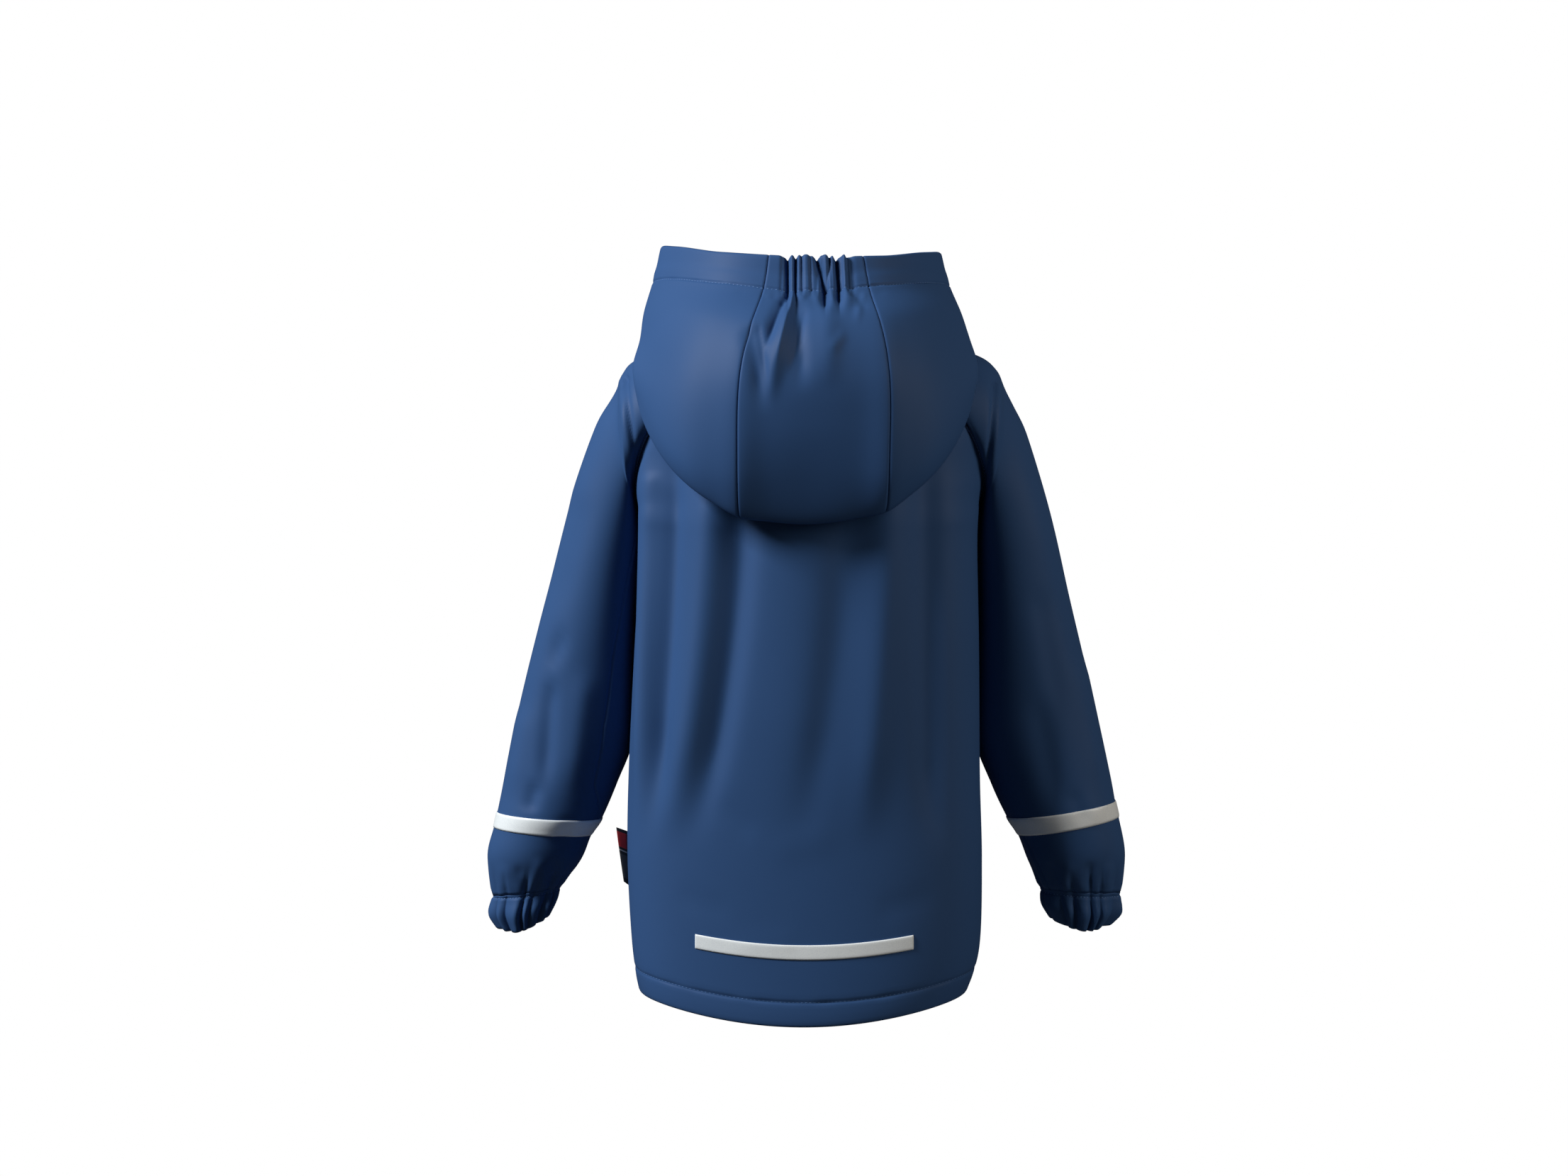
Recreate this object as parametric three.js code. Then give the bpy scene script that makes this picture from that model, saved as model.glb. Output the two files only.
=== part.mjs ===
import * as THREE from 'three';

// A child's hooded raincoat in worn form, in millimetres. +Z is up, the back of the coat faces +Y and the
// wearer's left is +X. The origin is the middle of the neck opening, level with the side of the neck.

// Driving sizes
const wall = 1.2;             // one layer of coated cloth
const turnedWall = 2.2;       // two layers, where an edge is turned and stitched
const seamGap = 0.3;          // between pieces at a seam
const tapeWall = 0.8;         // reflective tape
const trimLift = 0.3;         // a trim above the cloth that carries it
const placketReach = 18;      // how far each front passes the centre line
const placketRamp = 8;        // where the upper front comes down to the level of the rest
const placketLift = 2.3;      // upper front above the lower one
const studRadius = 6;
const studHeight = 2;
const studRim = 0.8;
const turnedCuff = 1.8;       // two layers of a cuff, drawn close by the elastic
const hoodSeamLift = 1.6;     // hood above the neckline that it is sewn to
const hoodEnd = 0.87;         // where the hood's rim meets the neckline, on the neckline's own scale

// Counts of cells
const yokeCells = 9;          // rows of a body panel from the neck to the armpit
const neckCells = 2;          // cells of a sleeve's neck edge on each side of the shoulder line
const bodyCells = 13;         // rows from the armpit to the turned hem
const backCells = 36;
const frontCells = 13;
const tapeCells = 14;
const sleeveSteps = [
  0, 0.5, 1, 1.6, 2.2, 2.8, 3.4, 4, 4.6, 5.2, 6, 6.8, 7.6, 8.4, 9.2, 10, 11, 11.6, 12.3, 13];
const cuffSteps = [0, 0.5, 1, 2, 3];
const cuffCells = 44;
const cuffFolds = 22;
const hoodSideCells = 12;
const hoodMiddleCells = 38;

// Materials
const clothBlue = new THREE.MeshStandardMaterial({ name: 'coated_cloth', color: '#2c4c7c', roughness: 0.42 });
const tapeSilver = new THREE.MeshStandardMaterial({
  name: 'reflective_tape', color: '#a9b4cd', roughness: 0.45 });
const labelBlack = new THREE.MeshStandardMaterial({ name: 'label', color: '#17191d', roughness: 0.7 });
const studBlue = new THREE.MeshStandardMaterial({ name: 'press_stud', color: '#20365c', roughness: 0.3 });

// Body sections from the neck (level 0) over the armpit (level 6) to the hem (level 12). Back and front give
// the point on the raglan or side seam, midBack and midFront the centre line, sway the sideways lean, turn
// the half angle that a section spans in degrees.
const bodyRows = [
  { level: 0, backX: 45, backY: 44, backZ: -8, midBackY: 58, midBackZ: -14,
    frontX: 52, frontY: -46, frontZ: -21, midFrontY: -62, midFrontZ: -34, sway: 0, turn: 62 },
  { level: 1, backX: 76, backY: 60, backZ: -31, midBackY: 80, midBackZ: -40,
    frontX: 76, frontY: -62, frontZ: -40, midFrontY: -81, midFrontZ: -58, sway: -1, turn: 50 },
  { level: 2, backX: 104, backY: 65, backZ: -58, midBackY: 93, midBackZ: -68,
    frontX: 102, frontY: -66, frontZ: -64, midFrontY: -94, midFrontZ: -80, sway: -2.5, turn: 50 },
  { level: 3, backX: 126, backY: 60, backZ: -86, midBackY: 101, midBackZ: -97,
    frontX: 125, frontY: -60, frontZ: -90, midFrontY: -101, midFrontZ: -104, sway: -4, turn: 58 },
  { level: 4, backX: 139, backY: 46, backZ: -108, midBackY: 104, midBackZ: -120,
    frontX: 138, frontY: -44, frontZ: -111, midFrontY: -104, midFrontZ: -125, sway: -4.5, turn: 68 },
  { level: 5, backX: 145, backY: 26, backZ: -130, midBackY: 105, midBackZ: -141,
    frontX: 144.5, frontY: -22, frontZ: -132, midFrontY: -105, midFrontZ: -144, sway: -4.5, turn: 80 },
  { level: 6, backX: 142, backY: 2, backZ: -151, midBackY: 105, midBackZ: -161,
    frontX: 142, frontY: 2, frontZ: -151, midFrontY: -105, midFrontZ: -161, sway: -4.5, turn: 90 },
  { level: 7, backX: 141, backY: 1, backZ: -185, midBackY: 104, midBackZ: -196,
    frontX: 141, frontY: 1, frontZ: -185, midFrontY: -104, midFrontZ: -192, sway: -4, turn: 90 },
  { level: 8, backX: 144.5, backY: 0, backZ: -270, midBackY: 103, midBackZ: -280,
    frontX: 144.5, frontY: 0, frontZ: -270, midFrontY: -103, midFrontZ: -274, sway: -2, turn: 90 },
  { level: 9, backX: 147.3, backY: 0, backZ: -375, midBackY: 102, midBackZ: -386,
    frontX: 147.3, frontY: 0, frontZ: -375, midFrontY: -102, midFrontZ: -377, sway: 0, turn: 90 },
  { level: 10, backX: 148.5, backY: 0, backZ: -447, midBackY: 103, midBackZ: -461,
    frontX: 148.5, frontY: 0, frontZ: -447, midFrontY: -102, midFrontZ: -447, sway: -0.5, turn: 90 },
  { level: 11, backX: 145.5, backY: 0, backZ: -519, midBackY: 105, midBackZ: -535,
    frontX: 145.5, frontY: 0, frontZ: -519, midFrontY: -103, midFrontZ: -517, sway: -1.5, turn: 90 },
  { level: 12, backX: 137, backY: 1, backZ: -556, midBackY: 106, midBackZ: -572,
    frontX: 137, frontY: 1, frontZ: -556, midFrontY: -103, midFrontZ: -551, sway: 1, turn: 90 },
];
const armpitLevel = 6;
const hemLevel = 12;
const hemStitchLevel = 11.4;

// Outward direction of both pieces where they meet on the raglan seam, from the neck to the armpit
const seamFacing = [
  { level: 0, across: 0.62, depth: 0.62, up: 0.3 },
  { level: 1, across: 0.3, depth: 0.6, up: 0.74 },
  { level: 2, across: 0.36, depth: 0.8, up: 0.48 },
  { level: 3, across: 0.5, depth: 0.85, up: 0.14 },
  { level: 4, across: 0.58, depth: 0.8, up: -0.12 },
  { level: 5, across: 0.38, depth: 0.72, up: -0.58 },
  { level: 6, across: 0, depth: 0, up: -1 },
];

// Soft upright folds of the back: where each runs at its top and foot, its half width and its height
const backFolds = [
  { topX: 130, footX: 139, topZ: -90, footZ: -420, width: 8, height: 5.8 },
  { topX: 107, footX: 126, topZ: -100, footZ: -420, width: 9, height: -7.6 },
  { topX: 76, footX: 108, topZ: -100, footZ: -420, width: 13, height: 6.2 },
  { topX: 48, footX: 88, topZ: -100, footZ: -420, width: 12, height: -6.2 },
  { topX: -34, footX: 0, topZ: -110, footZ: -420, width: 15, height: -3 },
  { topX: -66, footX: -46, topZ: -110, footZ: -420, width: 15, height: 4.6 },
  { topX: -98, footX: -102, topZ: -90, footZ: -420, width: 13, height: -4.6 },
];

// Sleeve sections after the raglan seam. Outer and inner are the two ends of the section as seen from behind,
// depth its half depth, bow how far its back and front stand out from the plane of those two ends.
// The first row is the round section that lies nearest to the seam itself, and the sections after it keep a
// falling share of the seam's own shape.
const seamRound = { outerX: 66, outerZ: 0, innerX: 142, innerZ: -151, y: 2, depth: 64, bow: 14 };
const seamShare = [1, 0.62, 0.36, 0.18, 0.07];
const sleeveRows = {
  left: [
    { outerX: 105, outerZ: -15, innerX: 139, innerZ: -153, y: 2, depth: 62, bow: 12 },
    { outerX: 142, outerZ: -29, innerX: 138.1, innerZ: -158, y: -1, depth: 59, bow: 9 },
    { outerX: 154, outerZ: -41, innerX: 137.8, innerZ: -165, y: -4, depth: 56, bow: 6 },
    { outerX: 159, outerZ: -53.5, innerX: 137.5, innerZ: -174, y: -8, depth: 54, bow: 4 },
    { outerX: 177, outerZ: -87.5, innerX: 137.4, innerZ: -196, y: -13, depth: 52, bow: 1 },
    { outerX: 200, outerZ: -151.5, innerX: 140, innerZ: -235, y: -18, depth: 50, bow: 0 },
    { outerX: 219.5, outerZ: -225, innerX: 143, innerZ: -290, y: -24, depth: 48, bow: 0 },
    { outerX: 242, outerZ: -313.5, innerX: 145, innerZ: -347, y: -28, depth: 46, bow: 0 },
    { outerX: 257, outerZ: -385.5, innerX: 160, innerZ: -388.5, y: -28, depth: 44, bow: 0 },
    { outerX: 262.5, outerZ: -413, innerX: 173, innerZ: -419, y: -26, depth: 42, bow: 0 },
    { outerX: 265.5, outerZ: -426, innerX: 182, innerZ: -433, y: -26, depth: 40, bow: 0 },
    { outerX: 271, outerZ: -451, innerX: 191, innerZ: -454, y: -25, depth: 36, bow: 0 },
    { outerX: 265.5, outerZ: -484.5, innerX: 207.5, innerZ: -476.5, y: -24, depth: 24, bow: 0 },
  ],
  right: [
    { outerX: 105, outerZ: -15, innerX: 148, innerZ: -153, y: 2, depth: 62, bow: 12 },
    { outerX: 146, outerZ: -25, innerX: 147.1, innerZ: -158, y: -1, depth: 59, bow: 9 },
    { outerX: 163, outerZ: -37, innerX: 146.6, innerZ: -165, y: -4, depth: 56, bow: 6 },
    { outerX: 171, outerZ: -53.5, innerX: 146, innerZ: -174, y: -8, depth: 54, bow: 4 },
    { outerX: 186, outerZ: -85, innerX: 145.5, innerZ: -196, y: -13, depth: 52, bow: 1 },
    { outerX: 208, outerZ: -151.5, innerX: 146.5, innerZ: -235, y: -18, depth: 50, bow: 0 },
    { outerX: 226.5, outerZ: -225, innerX: 146.5, innerZ: -290, y: -24, depth: 48, bow: 0 },
    { outerX: 248, outerZ: -313.5, innerX: 146.5, innerZ: -347, y: -28, depth: 46, bow: 0 },
    { outerX: 262.5, outerZ: -378.5, innerX: 161.5, innerZ: -389.5, y: -28, depth: 44, bow: 0 },
    { outerX: 267, outerZ: -403.5, innerX: 174.5, innerZ: -418, y: -26, depth: 42, bow: 0 },
    { outerX: 270, outerZ: -417, innerX: 184, innerZ: -433, y: -26, depth: 40, bow: 0 },
    { outerX: 275.5, outerZ: -449, innerX: 192.5, innerZ: -455, y: -25, depth: 36, bow: 0 },
    { outerX: 271, outerZ: -481.5, innerX: 203, innerZ: -477.5, y: -24, depth: 25, bow: 0 },
  ],
};
const sleeveEnd = sleeveRows.left.length;
const sleeveTape = [10, 11];

// Cuff casing sections below the sleeve's end, narrower where the elastic draws them in
const cuffRows = {
  left: [
    { outerX: 266, outerZ: -490, innerX: 210.5, innerZ: -483.5, y: -24, depth: 23, sag: 1, fold: 1.4 },
    { outerX: 266, outerZ: -501, innerX: 214.5, innerZ: -492, y: -24, depth: 23, sag: 3, fold: 2.4 },
    { outerX: 259.5, outerZ: -512, innerX: 219.5, innerZ: -502, y: -24, depth: 20, sag: 6, fold: 2.6 },
  ],
  right: [
    { outerX: 270.5, outerZ: -489, innerX: 204.5, innerZ: -485.5, y: -24, depth: 24, sag: 1, fold: 1.4 },
    { outerX: 269, outerZ: -499, innerX: 208, innerZ: -494, y: -24, depth: 24, sag: 3, fold: 2.4 },
    { outerX: 260, outerZ: -508.5, innerX: 214, innerZ: -504.5, y: -24, depth: 21, sag: 6, fold: 2.6 },
  ],
};

// Hood sections from the rim over the hanging fold to the neck seam. Back, corner, side and cheek are points
// on the left half, centre lies on the middle line, and neck is where the section's front end meets the
// neckline.
const hoodRows = [
  { name: 'rim', centre: [0, 100, 44], back: [66, 84, 48.5], corner: [115.5, 20, 60.5],
    side: [108, -16, 46], cheek: [80, -46, 15], neck: hoodEnd, lean: 2.5, tilt: 2.6 },
  { name: 'casing', centre: [0, 108, 15], back: [68, 93, 23], corner: [122.8, 26, 33],
    side: [118, -10, 20], cheek: [95, -44, -5], neck: 0.76, lean: 2.3, tilt: 1.5 },
  { name: 'upper', centre: [0, 139, -16], back: [77, 116, -8], corner: [130.2, 38, 8],
    side: [126, 4, -2], cheek: [104, -36, -14], neck: 0.735, lean: 1.5, tilt: 0 },
  { name: 'bulge', centre: [0, 151, -52], back: [88, 127, -48], corner: [134.8, 52, -18],
    side: [130, 20, -17], cheek: [107, -26, -14], neck: 0.71, lean: -0.5, tilt: 0 },
  { name: 'belly', centre: [0, 148, -94], back: [92, 130, -88], corner: [140.2, 63, -43],
    side: [132, 30, -25], cheek: [106, -18, -11], neck: 0.69, lean: -0.7, tilt: 0 },
  { name: 'low', centre: [0, 137, -136], back: [90, 127, -128], corner: [137.3, 71, -65],
    side: [130, 40, -31], cheek: [103, -14, -8], neck: 0.665, lean: -0.5, tilt: 0 },
  { name: 'fold', centre: [0, 122, -170], back: [80, 117, -150], corner: [130.5, 77, -86],
    side: [125, 44, -32], cheek: [98, -12, -5], neck: 0.64, lean: 0, tilt: 0 },
  { name: 'under', centre: [0, 111, -160], back: [70, 109, -138], corner: [121, 76, -74],
    side: [116, 43, -26], cheek: [92, -11, -2], neck: 0.62, lean: 0, tilt: 0 },
  { name: 'inner', centre: [0, 109, -112], back: [60, 106, -90], corner: [108, 69, -40],
    side: [103, 40, -17], cheek: [86, -10, 0], neck: 0.6, lean: 0, tilt: 0 },
  { name: 'rise', centre: [0, 96, -46], back: [52, 91, -38], corner: [89, 55, -12],
    side: [87, 32, -2], cheek: [79, -10, 2], neck: 0.58, lean: 0, tilt: 0 },
  { name: 'lip', centre: [0, 74, -2], back: [44, 68, 0], corner: [70, 37, 6],
    side: [73, 16, 7], cheek: [72, -10, 5], neck: 0.555, lean: 0, tilt: 0 },
];
const hoodStations = [0, 0.35, 0.66, 0.78, 0.89, 1];
const neckAtStation = [0, 0.2, 0.34, 0.42, 0.48, 0.53];   // the neck seam's own places on the neckline
const hoodSteps = [0, 1, 1.6, 2.3, 3, 3.7, 4.4, 5, 5.5, 6, 6.5, 7.1, 8, 9, 9.6, 10, 10.5, 11];

// Half width of the hood's middle panel and the shift of its middle, at the same sections
const middlePanel = [
  { section: 0, half: 38, shift: -9 },
  { section: 1, half: 42, shift: -9 },
  { section: 3, half: 57, shift: -7 },
  { section: 4.5, half: 59, shift: -6 },
  { section: 6, half: 57, shift: -5.5 },
  { section: 8, half: 44, shift: -4 },
  { section: 11, half: 26, shift: 0 },
];

// Gathers at the middle of the rim, drawn in by the elastic: the place of each pleat at the rim and at the
// casing's stitching, its half width and its height
const gathers = [
  { rimX: 14, footX: 13.5, width: 2.8, height: -4.2 },
  { rimX: 10.5, footX: 10.6, width: 2.2, height: 2 },
  { rimX: 7.5, footX: 7.5, width: 2.2, height: -2.6 },
  { rimX: -1, footX: -1.5, width: 6, height: 2 },
  { rimX: -9.5, footX: -15.5, width: 2.8, height: -3.8 },
  { rimX: -16, footX: -20, width: 2.6, height: 2 },
  { rimX: -25.5, footX: -27, width: 2.6, height: -3.8 },
  { rimX: -31, footX: -32, width: 3, height: 2 },
  { rimX: -36, footX: -38, width: 2.6, height: -1.4 },
];
const gatherEnd = 1.9;        // section where the pleats have run out
const gatherRise = 0.35;      // how far the rim's edge rises and dips with them

// Folds that hang from the gathers: both ends, half width and height
const hoodFolds = [
  { topX: 11, topZ: 16, footX: 28, footZ: -70, width: 6.5, height: 4.4 },
  { topX: 15, topZ: 12, footX: 30, footZ: -30, width: 5, height: -3.4 },
  { topX: 43, topZ: -20, footX: 33, footZ: -78, width: 6.5, height: -3 },
  { topX: 8, topZ: 0, footX: 3, footZ: -62, width: 7, height: -3.6 },
  { topX: -17, topZ: 0, footX: -16, footZ: -70, width: 11, height: 3.6 },
  { topX: -33, topZ: 16, footX: -39, footZ: 2, width: 6, height: 2.6 },
  { topX: -38, topZ: -20, footX: -34, footZ: -90, width: 9, height: -2.2 },
];
const seamRidge = { height: 3.2, width: 15 };   // the hood's panels meet on a soft edge

// Reflective strip on the back
const backStrip = { topLevel: 10.58, footLevel: 10.74, left: 88, right: -87 };

// Blank label in the left side seam
const label = {
  topLevel: 9.72, footLevel: 10.35, reach: 9.5, footReach: 4.5, back: 4, rise: 4, clear: 0.4, thickness: 1,
};

// Press studs down the front, by level
const studLevels = [0.9, 4.6, 7.2, 8.3, 9.4, 10.7];

// Small numeric helpers
const clamp01 = (value) => Math.min(1, Math.max(0, value));
const smooth = (value) => clamp01(value) ** 2 * (3 - 2 * clamp01(value));
const radians = THREE.MathUtils.degToRad;

function hermite(a, b, slopeA, slopeB, t) {
  const t2 = t * t;
  const t3 = t2 * t;
  return (2 * t3 - 3 * t2 + 1) * a + (t3 - 2 * t2 + t) * slopeA + (3 * t2 - 2 * t3) * b + (t3 - t2) * slopeB;
}

// Reads every column of a table at a place between its rows, on a smooth curve through them
function tableAt(rows, key, place) {
  let i = 0;
  while (i < rows.length - 2 && place > rows[i + 1][key]) i += 1;
  const [a, b] = [rows[i], rows[i + 1]];
  const [before, after] = [rows[i - 1] ?? a, rows[i + 2] ?? b];
  const span = b[key] - a[key];
  const t = clamp01((place - a[key]) / span);
  const out = {};
  for (const name of Object.keys(a)) {
    const slopeA = (b[name] - before[name]) / (b[key] - before[key]) * span;
    const slopeB = (after[name] - a[name]) / (after[key] - a[key]) * span;
    out[name] = hermite(a[name], b[name], slopeA, slopeB, t);
  }
  return out;
}

// A smooth curve through points at given stations
function throughPoints(points, stations, place) {
  let i = 0;
  while (i < stations.length - 2 && place > stations[i + 1]) i += 1;
  const before = Math.max(0, i - 1);
  const after = Math.min(stations.length - 1, i + 2);
  const span = stations[i + 1] - stations[i];
  const t = clamp01((place - stations[i]) / span);
  const slope = (from, to) => points[to].clone().sub(points[from]).multiplyScalar(
    span / (stations[to] - stations[from]));
  const slopeA = slope(before, i + 1);
  const slopeB = slope(i, after);
  const [a, b] = [points[i], points[i + 1]];
  return new THREE.Vector3(
    hermite(a.x, b.x, slopeA.x, slopeB.x, t),
    hermite(a.y, b.y, slopeA.y, slopeB.y, t),
    hermite(a.z, b.z, slopeA.z, slopeB.z, t));
}

// The body's section at a level. Front and back part at the armpit, so the curves are read apart there.
const yokeRows = bodyRows.filter((row) => row.level <= armpitLevel);
const trunkRows = bodyRows.filter((row) => row.level >= armpitLevel);
const bodyRow = (level) => tableAt(level <= armpitLevel ? yokeRows : trunkRows, 'level', level);

// Body surface: across runs from -1 at the wearer's right seam to 1 at the left one
function bodyPoint(face, across, level) {
  const row = bodyRow(level);
  const isBack = face === 'back';
  const [sideX, sideY, sideZ] = isBack
    ? [row.backX, row.backY, row.backZ] : [row.frontX, row.frontY, row.frontZ];
  const [midY, midZ] = isBack ? [row.midBackY, row.midBackZ] : [row.midFrontY, row.midFrontZ];
  const half = radians(Math.min(90, row.turn));
  const angle = across * half;
  const toMiddle = Math.max(0, (Math.cos(angle) - Math.cos(half)) / (1 - Math.cos(half)));
  const droop = 1 + 1.6 * smooth((level - armpitLevel) / 2);
  const square = 1 - 0.42 * smooth((level - 4) / 2.6);
  return new THREE.Vector3(
    row.sway + sideX * Math.sin(angle) / Math.sin(half),
    sideY + (midY - sideY) * toMiddle ** square,
    sideZ + (midZ - sideZ) * toMiddle ** droop);
}

// Where on the body's width a sideways place lies
function acrossAt(face, x, level) {
  const row = bodyRow(level);
  const half = radians(Math.min(90, row.turn));
  const sideX = face === 'back' ? row.backX : row.frontX;
  return Math.asin(THREE.MathUtils.clamp((x - row.sway) / sideX * Math.sin(half), -1, 1)) / half;
}

// A fold's height at a point that lies off to one side of it by offset
function bell(offset, width) {
  return Math.exp(-((offset / width) ** 2));
}

// Height of the back's folds, none at its seams
function backRelief(point, across) {
  let height = 0;
  for (const fold of backFolds) {
    const along = (fold.topZ - point.z) / (fold.topZ - fold.footZ);
    const x = THREE.MathUtils.lerp(fold.topX, fold.footX, clamp01(along) ** 2);
    const ends = smooth((along + 0.05) / 0.25) * smooth((1.05 - along) / 0.3);
    height += fold.height * ends * bell(point.x - x, fold.width);
  }
  return height * smooth((1 - Math.abs(across)) / 0.12);
}

// Direction of the raglan seam's common face, on the left side
function raglanFacing(face, level) {
  const row = tableAt(seamFacing, 'level', Math.min(level, armpitLevel));
  return new THREE.Vector3(row.across, face === 'back' ? row.depth : -row.depth, row.up).normalize();
}

// Direction along the cloth from the body to the sleeve, square to the raglan seam, on the left side
function raglanAway(face, level) {
  const step = 0.02;
  const along = bodyPoint(face, 1, Math.min(armpitLevel, level + step)).sub(
    bodyPoint(face, 1, Math.max(0, level - step)));
  const away = along.cross(raglanFacing(face, level)).normalize();
  return away.x < 0 ? away.negate() : away;
}

// Neckline from the centre back (0) over the left shoulder to the centre front (1)
const neckBackEnd = 0.3;
const neckFrontEnd = 0.7;
const neckCorner = new THREE.Vector3(66, 2, 0);
function neckline(place) {
  if (place <= neckBackEnd) return bodyPoint('back', place / neckBackEnd, 0);
  if (place >= neckFrontEnd) return bodyPoint('front', (1 - place) / (1 - neckFrontEnd), 0);
  const ends = [bodyPoint('back', 0.7, 0), bodyPoint('back', 1, 0), neckCorner,
    bodyPoint('front', 1, 0), bodyPoint('front', 0.7, 0)];
  const stations = [0.21, neckBackEnd, 0.5, neckFrontEnd, 0.79];
  return throughPoints(ends, stations, place);
}

function neckFacing(place) {
  const point = neckline(place);
  return new THREE.Vector3(point.x / 66, point.y / 60, 0).normalize().setZ(0.25).normalize();
}

// The loop where a sleeve leaves the body: turn runs from 0 at the shoulder line over the back (0.25) and
// the armpit (0.5) to the front (0.75)
const neckShare = neckCells / (2 * (neckCells + yokeCells));
function seamLevel(turn) {
  const wrapped = (turn + 1) % 1;
  return armpitLevel * clamp01((0.5 - Math.abs(wrapped - 0.5) - neckShare) / (0.5 - neckShare));
}

function raglanLoop(turn) {
  const wrapped = (turn + 1) % 1;
  if (wrapped < neckShare) {
    const place = THREE.MathUtils.lerp(0.5, neckBackEnd, wrapped / neckShare);
    return { point: neckline(place), facing: neckFacing(place) };
  }
  if (wrapped > 1 - neckShare) {
    const place = THREE.MathUtils.lerp(0.5, neckFrontEnd, (1 - wrapped) / neckShare);
    return { point: neckline(place), facing: neckFacing(place) };
  }
  const face = wrapped <= 0.5 ? 'back' : 'front';
  const level = seamLevel(turn);
  return {
    point: bodyPoint(face, 1, level), facing: raglanFacing(face, level), away: raglanAway(face, level),
  };
}

// One sleeve section of the table as a closed curve
function sleeveSection(row, turn) {
  const angle = turn * Math.PI * 2;
  const out = Math.cos(angle);
  const back = Math.sin(angle);
  return new THREE.Vector3(
    (row.outerX + row.innerX) / 2 + (row.outerX - row.innerX) / 2 * out + row.bow * back * back,
    row.y + row.depth * back,
    (row.outerZ + row.innerZ) / 2 + (row.outerZ - row.innerZ) / 2 * out - (row.sag ?? 0) * back * back);
}

// Mirrors a point of the left side to the wearer's right
function toSide(point, side) {
  return side === 'left' ? point : new THREE.Vector3(-point.x, point.y, point.z);
}

// Sleeve surface, on the left side of the body for both sleeves. The body's lean parts the two seams.
function sleevePoint(side, turn, section) {
  const level = seamLevel(turn);
  const { sway } = bodyRow(level);
  const seam = raglanLoop(turn).point;
  if (side === 'right') seam.x -= 2 * sway;
  const roundSeam = sleeveSection(seamRound, turn);
  roundSeam.x += side === 'left' ? sway : -sway;
  const shape = seam.clone().sub(roundSeam);
  const points = [seam];
  sleeveRows[side].forEach((row, i) => points.push(
    sleeveSection(row, turn).addScaledVector(shape, seamShare[i + 1] ?? 0)));
  return throughPoints(points, points.map((_, i) => i), section);
}

// Hood surface: around runs from 0 at the centre back to 1 at the front end, section from 0 at the rim to 11
function hoodHalf(around, section) {
  const columns = hoodRows.map((row) => {
    const points = [
      new THREE.Vector3(-row.back[0], row.back[1], row.back[2]),
      new THREE.Vector3(...row.centre), new THREE.Vector3(...row.back),
      new THREE.Vector3(...row.corner), new THREE.Vector3(...row.side), new THREE.Vector3(...row.cheek),
      neckline(row.neck)];
    return throughPoints(points, [-hoodStations[1], ...hoodStations], around);
  });
  columns.push(neckline(neckPlace(around)));
  return throughPoints(columns, columns.map((_, i) => i), section);
}

function neckPlace(around) {
  const rows = hoodStations.map((station, i) => ({ station, place: neckAtStation[i] }));
  return tableAt(rows, 'station', around).place;
}

function frontPlace(section) {
  const rows = hoodRows.map((row, i) => ({ section: i, place: row.neck }));
  rows.push({ section: hoodRows.length, place: neckAtStation[hoodStations.length - 1] });
  return tableAt(rows, 'section', section).place;
}

// The hood sits a little to one side: it leans and tilts, but not where it is sewn to the neckline
const hoodSet = hoodRows.map(({ lean, tilt }, section) => ({ section, lean, tilt }));
function hoodPoint(around, section) {
  const point = hoodHalf(Math.abs(around), section);
  if (around < 0) point.x = -point.x;
  const { lean, tilt } = tableAt(hoodSet, 'section', Math.min(section, hoodRows.length - 1));
  const free = smooth((1 - Math.abs(around)) / 0.25);
  point.x += lean * free;
  point.z += tilt * free * point.x / hoodRows[0].corner[0];
  return point;
}

// Where a hood section has a given sideways place near the centre back
function hoodAround(x, section) {
  let [low, high] = [-0.6, 0.6];
  for (let i = 0; i < 24; i += 1) {
    const middle = (low + high) / 2;
    if (hoodPoint(middle, section).x < x) low = middle;
    else high = middle;
  }
  return (low + high) / 2;
}

// Height of a straight fold at a point seen from behind, softer towards both ends
function foldHeight(fold, point) {
  const [runX, runZ] = [fold.footX - fold.topX, fold.footZ - fold.topZ];
  const long = Math.hypot(runX, runZ);
  const along = ((point.x - fold.topX) * runX + (point.z - fold.topZ) * runZ) / long;
  const aside = ((point.x - fold.topX) * runZ - (point.z - fold.topZ) * runX) / long;
  const ends = smooth((along + fold.width) / (2 * fold.width)) * smooth((long - along) / (0.5 * long) + 0.3);
  return fold.height * ends * bell(aside, fold.width);
}

// Height of the rim's pleats
function gatherHeight(point, section) {
  const fade = 1 - smooth((section - 0.9) / (gatherEnd - 0.9));
  return gathers.reduce((height, pleat) => height + pleat.height * fade * bell(
    point.x - THREE.MathUtils.lerp(pleat.rimX, pleat.footX, clamp01(section)), pleat.width), 0);
}

// Height of the hood's pleats, folds and seam edges
function hoodRelief(point, section) {
  const outer = 1 - smooth((section - 6) / 1.2);
  const { half, shift } = tableAt(middlePanel, 'section', section);
  const ridge = bell(point.x - shift - half, seamRidge.width) + bell(point.x - shift + half, seamRidge.width);
  const folds = hoodFolds.reduce((height, fold) => height + foldHeight(fold, point), 0);
  return gatherHeight(point, section) + outer * (folds * smooth((section - 0.9) / 0.5)
    + seamRidge.height * ridge * smooth((section - 1.2) / 1.5));
}

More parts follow.
